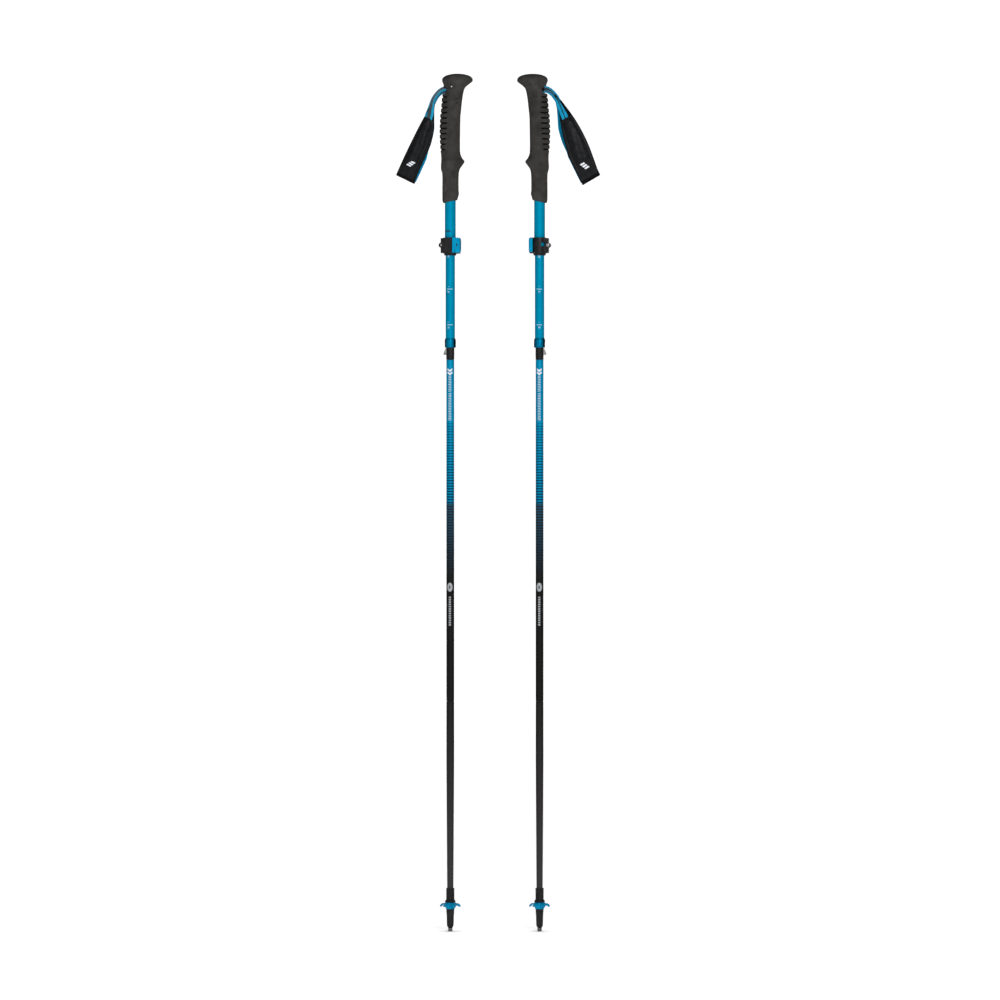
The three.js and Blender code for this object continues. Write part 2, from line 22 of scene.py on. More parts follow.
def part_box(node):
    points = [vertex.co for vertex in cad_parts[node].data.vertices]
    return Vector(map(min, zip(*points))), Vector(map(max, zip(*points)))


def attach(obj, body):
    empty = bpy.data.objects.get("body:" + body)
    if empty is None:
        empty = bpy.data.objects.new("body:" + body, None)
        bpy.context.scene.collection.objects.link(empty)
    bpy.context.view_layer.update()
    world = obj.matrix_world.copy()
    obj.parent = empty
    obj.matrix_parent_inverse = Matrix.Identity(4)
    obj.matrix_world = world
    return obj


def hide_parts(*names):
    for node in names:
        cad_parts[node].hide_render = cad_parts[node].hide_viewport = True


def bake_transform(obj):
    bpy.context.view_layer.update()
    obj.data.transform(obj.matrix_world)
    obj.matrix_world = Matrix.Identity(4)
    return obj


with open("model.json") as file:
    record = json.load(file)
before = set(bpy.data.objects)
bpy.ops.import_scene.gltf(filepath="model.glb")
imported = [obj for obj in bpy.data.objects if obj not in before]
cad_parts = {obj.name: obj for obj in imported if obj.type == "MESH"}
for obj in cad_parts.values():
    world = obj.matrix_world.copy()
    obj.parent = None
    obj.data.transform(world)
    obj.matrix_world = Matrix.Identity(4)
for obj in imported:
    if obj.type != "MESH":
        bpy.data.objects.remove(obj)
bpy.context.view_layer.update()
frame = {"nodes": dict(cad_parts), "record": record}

LOG = logging.getLogger("poles")
MM = 0.001

Point = tuple[float, float]
Colour = tuple[float, float, float]
BMesh = bmesh.types.BMesh
BMVert = bmesh.types.BMVert
Material = bpy.types.Material
Node = bpy.types.Node
Object = bpy.types.Object
Socket = bpy.types.NodeSocket


class Side(Enum):
    """Which of the two poles."""

    LEFT = "left"
    RIGHT = "right"


class Way(Enum):
    """The axis that a rod or a raised outline follows in the pole's frame."""

    UP = "up"
    ACROSS = "across"


# ---- Where things are ------------------------------------------------------


@dataclass(frozen=True)
class NodeShape:
    """Sizes of one CAD node in its pole's millimetre frame."""

    low: float
    high: float
    radius: float
    bore: float


@dataclass(frozen=True)
class Pole:
    """One pole's place in the row and the names of its pieces."""

    side: Side
    foot: Vector
    yaw: float

    @classmethod
    def from_record(cls, side: Side) -> "Pole":
        """Reads where a pole stands and how it is turned.

        Args:
            side: which pole.

        Returns:
            The pole, with its foot in metres and its yaw in radians.
        """
        mounts = {mount["name"]: mount for mount in frame["record"]["mounts"]}
        joints = {joint["name"]: joint for joint in frame["record"]["behaviour"]["joints"]}
        along = joints[f"{side.value}_upper_fold"]["axis"]
        foot = Vector(mounts[f"{side.value}_tip"]["pos_m"])
        return cls(side, foot, math.atan2(along[1], along[0]))

    def name(self, part: str) -> str:
        """The pole's own name for a part, node, body or joint."""
        return f"{self.side.value}_{part}"

    @property
    def matrix(self) -> Matrix:
        """From the pole's millimetre frame to the row's metres."""
        turn = Matrix.Rotation(self.yaw, 4, "Z")
        return Matrix.Translation(self.foot) @ turn @ Matrix.Scale(MM, 4)

    def local(self, place: Sequence[float]) -> Vector:
        """A point of the row's frame in the pole's millimetre frame."""
        return self.matrix.inverted() @ Vector(place)

    def pivot(self, part: str) -> Vector:
        """Where a joint of this pole stands, in the pole's millimetre frame."""
        joints = frame["record"]["behaviour"]["joints"]
        joint = next(joint for joint in joints if joint["name"] == self.name(part))
        return self.local(joint["pos_m"])

    def world(self, x: float, y: float, z: float) -> Vector:
        """A point of the pole's millimetre frame in the row's frame."""
        return self.matrix @ Vector((x, y, z))

    def points(self, node: str) -> list[Vector]:
        """A CAD node's vertices in the pole's millimetre frame."""
        obj = frame["nodes"][self.name(node)]
        return [self.local(obj.matrix_world @ v.co) for v in obj.data.vertices]

    def shape(self, node: str) -> NodeShape:
        """Measures a CAD node.

        Args:
            node: the node's name without its side.

        Returns:
            Its lowest and highest level, and its largest and smallest distance from the shaft's axis.
        """
        places = self.points(node)
        radii = [math.hypot(p.x, p.y) for p in places]
        levels = [p.z for p in places]
        return NodeShape(min(levels), max(levels), max(radii), min(radii))


# ---- Mesh work -------------------------------------------------------------


def filleted(points: Sequence[tuple[float, float, float]], steps: int = 4) -> list[Point]:
    """Rounds the corners of an open profile.

    Args:
        points: radius, level and corner radius of each corner; a corner radius of 0 stays sharp.
        steps: pieces in each rounded corner.

    Returns:
        The profile's points.
    """
    out: list[Point] = []
    for i, (r, z, fillet) in enumerate(points):
        here = Vector((r, z))
        if fillet <= 0 or i in (0, len(points) - 1):
            out.append((r, z))
            continue
        back = Vector(points[i - 1][:2]) - here
        ahead = Vector(points[i + 1][:2]) - here
        reach = min(fillet, back.length * 0.49, ahead.length * 0.49)
        start, end = here + back.normalized() * reach, here + ahead.normalized() * reach
        for step in range(steps + 1):
            t = step / steps
            place = start * (1 - t) ** 2 + here * (2 * t * (1 - t)) + end * t**2
            out.append((place.x, place.y))
    return out


def strip(bm: BMesh, first: Sequence[BMVert], second: Sequence[BMVert], closed: bool = True) -> None:
    """Joins two rows of vertices by faces, round to the start where closed."""
    count = len(first)
    for i in range(count if closed else count - 1):
        j = (i + 1) % count
        bm.faces.new((first[i], first[j], second[j], second[i]))


def outward(bm: BMesh) -> BMesh:
    """Turns every face of a closed mesh outwards."""
    bmesh.ops.recalc_face_normals(bm, faces=bm.faces)
    return bm


def revolve(profile: Sequence[Point], segments: int = 64) -> BMesh:
    """Turns a profile about Z into a closed mesh.

    Args:
        profile: radius and level of each point. It ends on the axis or comes back to its start.
        segments: faces round the axis.

    Returns:
        The mesh, with its poles closed.
    """
    bm = bmesh.new()
    rings: list[list[BMVert]] = []
    closed = profile[0] == profile[-1]
    for r, z in profile[:-1] if closed else profile:
        if r < 1e-6:
            rings.append([bm.verts.new((0, 0, z))])
            continue
        turns = (2 * math.pi * i / segments for i in range(segments))
        rings.append([bm.verts.new((r * math.cos(a), r * math.sin(a), z)) for a in turns])
    pairs = list(zip(rings, rings[1:])) + ([(rings[-1], rings[0])] if closed else [])
    for lower, upper in pairs:
        for i in range(segments):
            j = (i + 1) % segments
            below = [lower[i % len(lower)], lower[j % len(lower)]]
            corners = [*below, upper[j % len(upper)], upper[i % len(upper)]]
            unique = list(dict.fromkeys(corners))
            if len(unique) > 2:
                bm.faces.new(unique)
    return outward(bm)


def hoop(corners: Sequence[tuple[float, float, float]], segments: int = 72) -> BMesh:
    """Turns a profile that doesn't reach the axis about Z, its corners rounded as filleted() does."""
    profile = filleted(corners)
    return revolve([*profile, profile[0]], segments)


def rod(radius: float, low: float, high: float, way: Way = Way.UP, at: Point = (0, 0),
        segments: int = 48, sides_fillet: float = 0.0) -> BMesh:
    """A rod along Z through an XY point, or along Y through an XZ point.

    Args:
        radius: the rod's radius.
        low: where it starts along its axis.
        high: where it ends.
        way: which axis it follows.
        at: the point that it passes through.
        segments: faces round it.
        sides_fillet: rounding of its two rims.

    Returns:
        The mesh.
    """
    profile = filleted([(0, low, 0), (radius, low, sides_fillet), (radius, high, sides_fillet), (0, high, 0)])
    bm = revolve(profile, segments)
    if way is Way.ACROSS:
        bm.transform(Matrix.Rotation(-math.pi / 2, 4, "X"))
        bm.transform(Matrix.Translation((at[0], 0, at[1])))
    else:
        bm.transform(Matrix.Translation((at[0], at[1], 0)))
    return outward(bm)


def block(low: Sequence[float], high: Sequence[float]) -> BMesh:
    """A box from its lowest to its highest corner."""
    bm = bmesh.new()
    bmesh.ops.create_cube(bm, size=1)
    size = [h - l for l, h in zip(low, high)]
    centre = [(h + l) / 2 for l, h in zip(low, high)]
    bm.transform(Matrix.Translation(centre) @ Matrix.Diagonal((*size, 1)))
    return bm


def raised(outline: Sequence[Point], low: float, high: float, way: Way = Way.UP) -> BMesh:
    """An XY outline raised from one level to another, or an XZ one drawn across the pole."""
    bm = bmesh.new()
    lower = [bm.verts.new((x, y, low)) for x, y in outline]
    upper = [bm.verts.new((x, y, high)) for x, y in outline]
    bm.faces.new(lower)
    bm.faces.new(upper)
    strip(bm, lower, upper)
    if way is Way.ACROSS:
        bm.transform(Matrix.Rotation(math.pi / 2, 4, "X"))
    return outward(bm)


def rounded_outline(corners: Sequence[tuple[float, float, float]], steps: int = 5) -> list[Point]:
    """Rounds every corner of a closed outline.

    Args:
        corners: x, y and corner radius of each corner.
        steps: pieces in each rounded corner.

    Returns:
        The outline's points, without repeating the first.
    """
    wrapped = [corners[-1], *corners, corners[0]]
    return filleted(wrapped, steps)[1:-1]


def mesh_object(name: str, bm: BMesh) -> Object:
    """Links a mesh to the scene under a name and frees its bmesh."""
    mesh = bpy.data.meshes.new(name)
    bm.to_mesh(mesh)
    bm.free()
    obj = bpy.data.objects.new(name, mesh)
    bpy.context.scene.collection.objects.link(obj)
    return obj


def resulting_mesh(obj: Object) -> bpy.types.Mesh:
    """The mesh that an object's modifiers or its curve give."""
    bpy.context.view_layer.update()
    depsgraph = bpy.context.evaluated_depsgraph_get()
    return bpy.data.meshes.new_from_object(obj.evaluated_get(depsgraph), depsgraph=depsgraph)


def evaluated(obj: Object) -> None:
    """Applies an object's modifiers to its mesh and removes them."""
    mesh = resulting_mesh(obj)
    obj.modifiers.clear()
    obj.data = mesh


def combined(shapes: Iterable[BMesh], cuts: Iterable[BMesh] = (), limits: Iterable[BMesh] = ()) -> Object:
    """Joins solids, cuts others out of them and keeps what lies inside the limits.

    Args:
        shapes: solids to join.
        cuts: solids to take away.
        limits: solids that the result stays inside.

    Returns:
        An object that holds the result.
    """
    body, *others = [mesh_object("solid", bm) for bm in shapes]
    tools = [(other, "UNION") for other in others]
    tools += [(mesh_object("cut", bm), "DIFFERENCE") for bm in cuts]
    tools += [(mesh_object("limit", bm), "INTERSECT") for bm in limits]
    for tool, operation in tools:
        modifier = body.modifiers.new("join", "BOOLEAN")
        modifier.operation = operation
        modifier.solver = "EXACT"
        modifier.object = tool
        evaluated(body)
        bpy.data.objects.remove(tool)
    return body


def bevelled(obj: Object, width: float, segments: int = 3, angle: float = 32) -> None:
    """Rounds an object's sharp edges and applies the result."""
    bm = bmesh.new()
    bm.from_mesh(obj.data)
    bmesh.ops.remove_doubles(bm, verts=bm.verts, dist=1e-4)
    bmesh.ops.dissolve_limit(bm, angle_limit=math.radians(1), verts=bm.verts, edges=bm.edges)
    bm.to_mesh(obj.data)
    bm.free()
    modifier = obj.modifiers.new("edges", "BEVEL")
    modifier.width = width
    modifier.segments = segments
    modifier.limit_method = "ANGLE"
    modifier.angle_limit = math.radians(angle)
    modifier.use_clamp_overlap = True
    evaluated(obj)


# ---- Ribbons ---------------------------------------------------------------


@dataclass(frozen=True)
class Station:
    """A ribbon's cross-section: its centre, its directions and its size."""

    centre: Vector
    across: Vector
    out: Vector
    width: float
    thickness: float


def eased(points: Sequence[Sequence[float]], count: int) -> np.ndarray:
    """A smooth curve through points of any dimension.

    Args:
        points: the points that it passes through.
        count: samples along the whole curve, evenly spaced by length of its first three columns.

    Returns:
        The samples, one row each.
    """
    given = np.array(points, float)
    ends = np.vstack([2 * given[0] - given[1], given, 2 * given[-1] - given[-2]])
    dense = []
    for i in range(1, len(ends) - 2):
        p0, p1, p2, p3 = ends[i - 1 : i + 3]
        for t in np.linspace(0, 1, 24, endpoint=False):
            tangent_a, tangent_b = (p2 - p0) / 2, (p3 - p1) / 2
            dense.append((2 * t**3 - 3 * t**2 + 1) * p1 + (t**3 - 2 * t**2 + t) * tangent_a
                         + (3 * t**2 - 2 * t**3) * p2 + (t**3 - t**2) * tangent_b)
    dense.append(given[-1])
    rows = np.array(dense)
    steps = np.linalg.norm(np.diff(rows[:, :3], axis=0), axis=1)
    length = np.concatenate([[0], np.cumsum(steps)])
    wanted = np.linspace(0, length[-1], count)
    return np.column_stack([np.interp(wanted, length, rows[:, k]) for k in range(rows.shape[1])])


def ribbon(stations: Sequence[Station], flats: int = 14, rounds: int = 3,
           crown: Callable[[float, float], float] | None = None) -> BMesh:
    """A flat band with rounded edges that follows stations, with a UV map in millimetres.

    Args:
        stations: its cross-sections in order.
        flats: faces across each flat side.
        rounds: faces in each half edge.
        crown: extra thickness on the outer side, from the share along and the share across.

    Returns:
        The mesh; u runs across the band and v along it.
    """
    bm = bmesh.new()
    uv_layer = bm.loops.layers.uv.new("cloth")
    half_turn = [math.pi * i / (2 * rounds) for i in range(1, 2 * rounds)]
    half_outline = [(-1 + 2 * i / flats, 1) for i in range(flats + 1)]
    half_outline += [(1 + math.sin(a), math.cos(a)) for a in half_turn]
    outline = half_outline + [(-x, -y) for x, y in half_outline]
    travelled = 0.0
    rings, lengths, acrosses = [], [], []
    for index, station in enumerate(stations):
        if index:
            travelled += (station.centre - stations[index - 1].centre).length
        half = max(station.width - station.thickness, 0.01) / 2
        edge = station.thickness / 2
        share_along = index / (len(stations) - 1)
        ring, places = [], []
        for a, b in outline:
            flat = max(-1.0, min(1.0, a))
            over = a - flat
            extra = crown(share_along, flat) if crown and b > 0 and abs(a) <= 1 else 0.0
            u = flat * half + over * edge
            ring.append(bm.verts.new(station.centre + station.across * u + station.out * (b * edge + extra)))
            places.append(u)
        rings.append(ring)
        acrosses.append(places)
        lengths.append(travelled)
    count = len(outline)
    for k in range(len(rings) - 1):
        for i in range(count):
            j = (i + 1) % count
            face = bm.faces.new((rings[k][i], rings[k][j], rings[k + 1][j], rings[k + 1][i]))
            spots = ((k, i), (k, j), (k + 1, j), (k + 1, i))
            for loop, (row, column) in zip(face.loops, spots):
                loop[uv_layer].uv = (acrosses[row][column], lengths[row])
    for ring, row in ((rings[0], 0), (rings[-1], len(rings) - 1)):
        face = bm.faces.new(ring)
        for loop, u in zip(face.loops, acrosses[row]):
            loop[uv_layer].uv = (u, lengths[row])
    return outward(bm)


# ---- Finishes --------------------------------------------------------------


class Graph:
    """A material's node tree, with short calls to add and join nodes."""

    def __init__(self, name: str) -> None:
        """Makes a material with an empty shader graph and an output."""
        self.material = bpy.data.materials.new(name)
        self.material.use_nodes = True
        self.tree = self.material.node_tree
        self.tree.nodes.clear()
        self.output = self.tree.nodes.new("ShaderNodeOutputMaterial")
        self.shader = self.tree.nodes.new("ShaderNodeBsdfPrincipled")
        self.tree.links.new(self.shader.outputs["BSDF"], self.output.inputs["Surface"])

    def add(self, kind: str, **values: object) -> Node:
        """Adds a node.

        Args:
            kind: the node's type without its ShaderNode prefix.
            **values: properties of the node.

        Returns:
            The node.
        """
        node = self.tree.nodes.new(f"ShaderNode{kind}")
        for key, value in values.items():
            setattr(node, key, value)
        return node

    def join(self, source: Socket, target: Socket) -> None:
        """Links one socket to another."""
        self.tree.links.new(source, target)

    def feed(self, socket: Socket, value: object) -> None:
        """Sets a socket to a number or colour, or links another socket to it."""
        if isinstance(value, Socket):
            self.join(value, socket)
        else:
            socket.default_value = value

    def math(self, operation: str, *inputs: object, clamp: bool = False) -> Socket:
        """A math node's result for numbers or sockets."""
        node = self.add("Math", operation=operation, use_clamp=clamp)
        for socket, value in zip(node.inputs, inputs):
            self.feed(socket, value)
        return node.outputs[0]

    def object_place(self, scale: Sequence[float] = (1, 1, 1), location: Sequence[float] = (0, 0, 0),
                     turn: float = 0.0) -> Socket:
        """Object coordinates, moved, turned about Z and scaled."""
        place = self.add("TexCoord").outputs["Object"]
        mapping = self.add("Mapping", vector_type="POINT")
        mapping.inputs["Scale"].default_value = scale
        mapping.inputs["Location"].default_value = location
        mapping.inputs["Rotation"].default_value = (0, 0, turn)
        self.join(place, mapping.inputs["Vector"])
        return mapping.outputs["Vector"]

    def noise(self, vector: Socket, scale: float, detail: float = 3,
              roughness: float = 0.5) -> Socket:
        """A noise texture's value."""
        node = self.add("TexNoise")
        self.join(vector, node.inputs["Vector"])
        node.inputs["Scale"].default_value = scale
        node.inputs["Detail"].default_value = detail
        node.inputs["Roughness"].default_value = roughness
        return node.outputs["Fac"]

    def between(self, value: Socket, low: float, high: float, to_low: float = 0,
                to_high: float = 1, smooth: bool = False) -> Socket:
        """Maps a range of a value to another range, clamped."""
        node = self.add("MapRange", clamp=True)
        if smooth:
            node.interpolation_type = "SMOOTHSTEP"
        self.join(value, node.inputs["Value"])
        for key, number in (("From Min", low), ("From Max", high), ("To Min", to_low), ("To Max", to_high)):
            node.inputs[key].default_value = number
        return node.outputs["Result"]

    def mix(self, share: object, first: object, second: object) -> Socket:
        """Mixes two colours by a share."""
        node = self.add("Mix", data_type="RGBA")
        self.feed(node.inputs["Factor"], share)
        for socket, value in ((node.inputs[6], first), (node.inputs[7], second)):
            self.feed(socket, value if isinstance(value, Socket) else (*value, 1))
        return node.outputs[2]

    def tinted(self, colour: object, share: Socket) -> Socket:
        """A colour multiplied by a value."""
        node = self.add("Mix", data_type="RGBA", blend_type="MULTIPLY")
        node.inputs["Factor"].default_value = 1
        self.feed(node.inputs[6], colour if isinstance(colour, Socket) else (*colour, 1))
        self.join(share, node.inputs[7])
        return node.outputs[2]

    def split(self, vector: Socket) -> bpy.types.NodeOutputs:
        """A vector's three numbers."""
        node = self.add("SeparateXYZ")
        self.join(vector, node.inputs["Vector"])
        return node.outputs

    def bump(self, height: Socket, distance: float, strength: float = 1.0,
             base: Socket | None = None) -> Socket:
        """A bump's normal, on top of another where one is given."""
        node = self.add("Bump")
        node.inputs["Strength"].default_value = strength
        node.inputs["Distance"].default_value = distance
        self.join(height, node.inputs["Height"])
        if base:
            self.join(base, node.inputs["Normal"])
        return node.outputs["Normal"]

    def set(self, **values: object) -> None:
        """Feeds the shader's sockets; underscores in a name stand for spaces."""
        for key, value in values.items():
            socket = self.shader.inputs[key.replace("_", " ")]
            is_colour = isinstance(value, tuple) and len(value) == 3 and socket.type == "RGBA"
            self.feed(socket, (*value, 1) if is_colour else value)


@dataclass(frozen=True)
class Foam:
    """Closed-cell grip foam: matt charcoal with a fine pitted skin, and painted shade down in its grooves,
    marks and strap slot.
    """

    colour: Colour = (0.028, 0.0265, 0.0245)
    worn: Colour = (0.052, 0.050, 0.047)
    # painted shade: the near-black that the grooves, marks and strap slot are coloured towards
    painted_recess_shade: Colour = (0.0035, 0.0032, 0.003)

    def material(self) -> Material:
        """Builds the finish."""
        graph = Graph("grip_foam")
        place = graph.object_place()
        cloud = graph.between(graph.noise(place, 70, 5, 0.6), 0.35, 0.7)
        grain = graph.noise(place, 1400, 2)
        pits = graph.add("TexVoronoi", feature="F1")
        graph.join(place, pits.inputs["Vector"])
        pits.inputs["Scale"].default_value = 1000
        pitted = graph.between(pits.outputs["Distance"], 0.0, 0.45)
        specks = graph.between(grain, 0.3, 0.75, 0.8, 1.18)
        shaded = graph.tinted(graph.mix(cloud, self.colour, self.worn), specks)
        # painted shade in the recesses, from how deep the skin is pressed in there
        depth = graph.add("Attribute", attribute_name="painted_recess_shade").outputs["Fac"]
        colour = graph.mix(graph.between(depth, 0.08, 0.5), shaded, self.painted_recess_shade)
        soft = graph.bump(graph.noise(place, 320, 4), 0.0003, 0.4)
        graph.set(Base_Color=colour, Roughness=graph.between(cloud, 0, 1, 0.9, 0.78),
                  Specular_IOR_Level=0.12, IOR=1.2, Sheen_Weight=0.02, Sheen_Roughness=0.6,
                  Normal=graph.bump(pitted, 0.00014, 0.55, soft))
        return graph.material


@dataclass(frozen=True)
class Moulded:
    """Moulded plastic with a fine spark-eroded grain."""

    name: str
    colour: Colour
    edge: Colour
    roughness: float = 0.5
    grain: float = 0.00005
    shine: float = 0.2
    tint: Colour = (1.0, 1.0, 1.0)

    def material(self) -> Material:
        """Builds the finish."""
        graph = Graph(self.name)
        place = graph.object_place()
        cloud = graph.between(graph.noise(place, 140, 4), 0.35, 0.7)
        grain = graph.noise(place, 2600, 3)
        patches = graph.noise(place, 420, 4)
        rough = graph.between(patches, 0.3, 0.7, self.roughness - 0.06, self.roughness + 0.08)
        graph.set(Base_Color=graph.mix(cloud, self.colour, self.edge), Roughness=rough,
                  Specular_IOR_Level=self.shine, IOR=1.35, Specular_Tint=self.tint,
                  Normal=graph.bump(grain, self.grain, 0.6))
        return graph.material


@dataclass(frozen=True)
class Anodised:
    """Drawn aluminium tube, dyed blue: fine lengthwise grain under a satin skin, with painted shade on its
    flanks where asked.
    """

    name: str
    colour: Colour = (0.0, 0.205, 0.352)
    light: Colour = (0.0, 0.228, 0.385)
    roughness: float = 0.5
    metal: float = 0.2
    # paints shade on the tube's flanks, darkening them towards black
    painted_flank_shade: bool = False

    def material(self) -> Material:
        """Builds the finish."""
        graph = Graph(self.name)
        streaks = graph.noise(graph.object_place((1, 1, 0.012)), 900, 4, 0.6)
        cloud = graph.between(graph.noise(graph.object_place(), 60, 3), 0.35, 0.7)
        rough = graph.between(streaks, 0.3, 0.7, self.roughness - 0.07, self.roughness + 0.07)
        colour = graph.mix(cloud, self.colour, self.light)
        # painted shade: the flanks are darkened towards black by a share kept on each vertex
        if self.painted_flank_shade:
            flank_shade = graph.add("Attribute", attribute_name="flank_shade").outputs["Fac"]
            colour = graph.mix(graph.between(flank_shade, 0.0, 1.0), colour, (0.002, 0.004, 0.006))
        graph.set(Base_Color=colour, Metallic=self.metal, Roughness=rough,
                  Specular_IOR_Level=0.1, IOR=1.3, Specular_Tint=(0.05, 0.5, 0.75),
                  Normal=graph.bump(streaks, 0.00002, 0.35))
        return graph.material


@dataclass(frozen=True)
class PrintedShaft:
    """Middle shaft: blue lacquer that passes through fine rings into black."""

    rings_low: float
    rings_change: float
    rings_high: float
    pitch: float = 0.0038
    blue: Colour = (0.0005, 0.215, 0.385)
    dark_blue: Colour = (0.0005, 0.022, 0.060)
    black: Colour = (0.0090, 0.0086, 0.0080)
    grey_blue: Colour = (0.016, 0.068, 0.118)

    def material(self) -> Material:
        """Builds the finish."""
        graph = Graph("printed_shaft")
        level = graph.split(graph.object_place())["Z"]
        phase = graph.math("FRACT", graph.math("DIVIDE", level, self.pitch))
        wave = graph.math("ABSOLUTE", graph.math("SUBTRACT", phase, 0.5))
        wide = graph.between(level, self.rings_change, self.rings_high, 0.02, -0.09)
        line = graph.between(graph.math("ADD", wave, wide), 0.21, 0.29, 0, 1, smooth=True)
        upper_fade = graph.between(level, self.rings_change, self.rings_high, 1.0, 0.85)
        above = graph.mix(graph.math("MULTIPLY", line, upper_fade), self.blue, self.dark_blue)
        top_clear = graph.between(level, self.rings_high, self.rings_high + self.pitch, 0, 1)
        above = graph.mix(top_clear, above, self.blue)
        lower_fade = graph.between(level, self.rings_low, self.rings_change, 0.0, 1.0)
        below = graph.mix(graph.math("MULTIPLY", line, lower_fade), self.black, self.grey_blue)
        is_above = graph.between(level, self.rings_change - 0.0008, self.rings_change + 0.0008)
        streaks = graph.noise(graph.object_place((1, 1, 0.015)), 800, 4, 0.6)
        metallic = graph.math("MULTIPLY", is_above, 0.2)
        graph.set(Base_Color=graph.mix(is_above, below, above), Metallic=metallic,
                  Roughness=graph.between(streaks, 0.3, 0.7, 0.38, 0.5), Specular_IOR_Level=0.09, IOR=1.35,
                  Specular_Tint=(0.7, 0.85, 0.95), Normal=graph.bump(streaks, 0.000015, 0.3))
        return graph.material


@dataclass(frozen=True)
class CarbonShaft:
    """Black composite tube with faint lengthwise fibres and a satin lacquer."""

    colour: Colour = (0.0095, 0.0091, 0.0088)
    fibre: Colour = (0.020, 0.019, 0.0188)
    foot_tint: Colour = (0.043, 0.041, 0.043)

    def material(self) -> Material:
        """Builds the finish, paler towards the foot."""
        graph = Graph("carbon_shaft")
        fibres = graph.noise(graph.object_place((1, 1, 0.01)), 1500, 3, 0.6)
        weave = graph.add("TexWave", wave_type="BANDS", bands_direction="DIAGONAL")
        graph.join(graph.object_place(), weave.inputs["Vector"])
        weave.inputs["Scale"].default_value = 300
        weave.inputs["Distortion"].default_value = 0.6
        share = graph.math("MULTIPLY", graph.between(fibres, 0.35, 0.7), 0.6)
        twill = graph.math("MULTIPLY", weave.outputs["Fac"], 0.22)
        # the colour grows paler towards the foot
        paler_towards_foot = graph.between(graph.split(graph.object_place())["Z"], 0.06, 0.30, 0.75, 0.0)
        woven = graph.mix(graph.math("ADD", share, twill, clamp=True), self.colour, self.fibre)
        graph.set(Base_Color=graph.mix(paler_towards_foot, woven, self.foot_tint),
                  Roughness=graph.between(fibres, 0.3, 0.7, 0.36, 0.48), Specular_IOR_Level=0.12, IOR=1.35,
                  Normal=graph.bump(fibres, 0.000012, 0.3))
        return graph.material


@dataclass(frozen=True)
class Metal:
    """Bare metal with fine turning marks."""

    name: str
    colour: Colour = (0.62, 0.63, 0.65)
    dull: Colour = (0.38, 0.38, 0.39)
    roughness: float = 0.3

    def material(self) -> Material:
        """Builds the finish."""
        graph = Graph(self.name)
        marks = graph.noise(graph.object_place((0.15, 0.15, 1)), 5200, 3, 0.7)
        cloud = graph.between(graph.noise(graph.object_place(), 500, 4), 0.4, 0.75)
        graph.set(Base_Color=graph.mix(cloud, self.colour, self.dull), Metallic=1.0,
                  Roughness=graph.between(marks, 0.3, 0.7, self.roughness - 0.06, self.roughness + 0.12),
                  Normal=graph.bump(marks, 0.00001, 0.35))
        return graph.material


@dataclass(frozen=True)
class Woven:
    """Woven or knitted cloth on a UV map in millimetres, with optional stripes across its width."""

    name: str
    colour: Colour
    stripe: Colour | None = None
    stripe_inner: float = 1.5
    stripe_outer: float = 6.2
    pitch: float = 0.9
    height: float = 0.00012
    sheen: float = 0.25

    def material(self) -> Material:
        """Builds the finish."""
        graph = Graph(self.name)
        cloth = graph.split(graph.add("UVMap", uv_map="cloth").outputs["UV"])
        across, along = cloth["X"], cloth["Y"]
        turn = 2 * math.pi / self.pitch
        slanted = graph.math("ADD", along, graph.math("MULTIPLY", across, 0.5))
        rib = graph.math("SINE", graph.math("MULTIPLY", slanted, turn))
        warp = graph.math("SINE", graph.math("MULTIPLY", across, turn * 1.6))
        thread = graph.math("ADD", graph.math("MULTIPLY", rib, 0.5), graph.math("MULTIPLY", warp, 0.35))
        relief = graph.between(thread, -0.85, 0.85)
        cloud = graph.between(graph.noise(graph.object_place(), 260, 4), 0.3, 0.75, 0.75, 1.2)
        colour: object = self.colour
        if self.stripe:
            distance = graph.math("ABSOLUTE", across)
            inside = graph.between(distance, self.stripe_inner - 0.25, self.stripe_inner + 0.25)
            outside = graph.between(distance, self.stripe_outer - 0.2, self.stripe_outer + 0.2, 1, 0)
            colour = graph.mix(graph.math("MULTIPLY", inside, outside), self.colour, self.stripe)
        shade = graph.math("MULTIPLY", cloud, graph.between(relief, 0, 1, 0.62, 1.12))
        graph.set(Base_Color=graph.tinted(colour, shade), Roughness=0.8, Specular_IOR_Level=0.1, IOR=1.25,
                  Sheen_Weight=self.sheen, Sheen_Roughness=0.45, Normal=graph.bump(relief, self.height, 0.8))
        return graph.material


@dataclass(frozen=True)
class Print:
    """Thin ink on a shaft or on cloth, slightly uneven."""

    name: str
    colour: Colour
    metallic: float = 0.0
    roughness: float = 0.5

    def material(self) -> Material:
        """Builds the finish."""
        graph = Graph(self.name)
        wear = graph.between(graph.noise(graph.object_place(), 900, 4), 0.3, 0.8, 1.0, 0.72)
        graph.set(Base_Color=graph.tinted(self.colour, wear), Metallic=self.metallic, Roughness=self.roughness)
        return graph.material


def built(finish: type, *values: object, **named: object) -> Material:
    """A dataclass field that holds a finish's material, built when the dataclass is made."""
    return field(default_factory=lambda: finish(*values, **named).material())


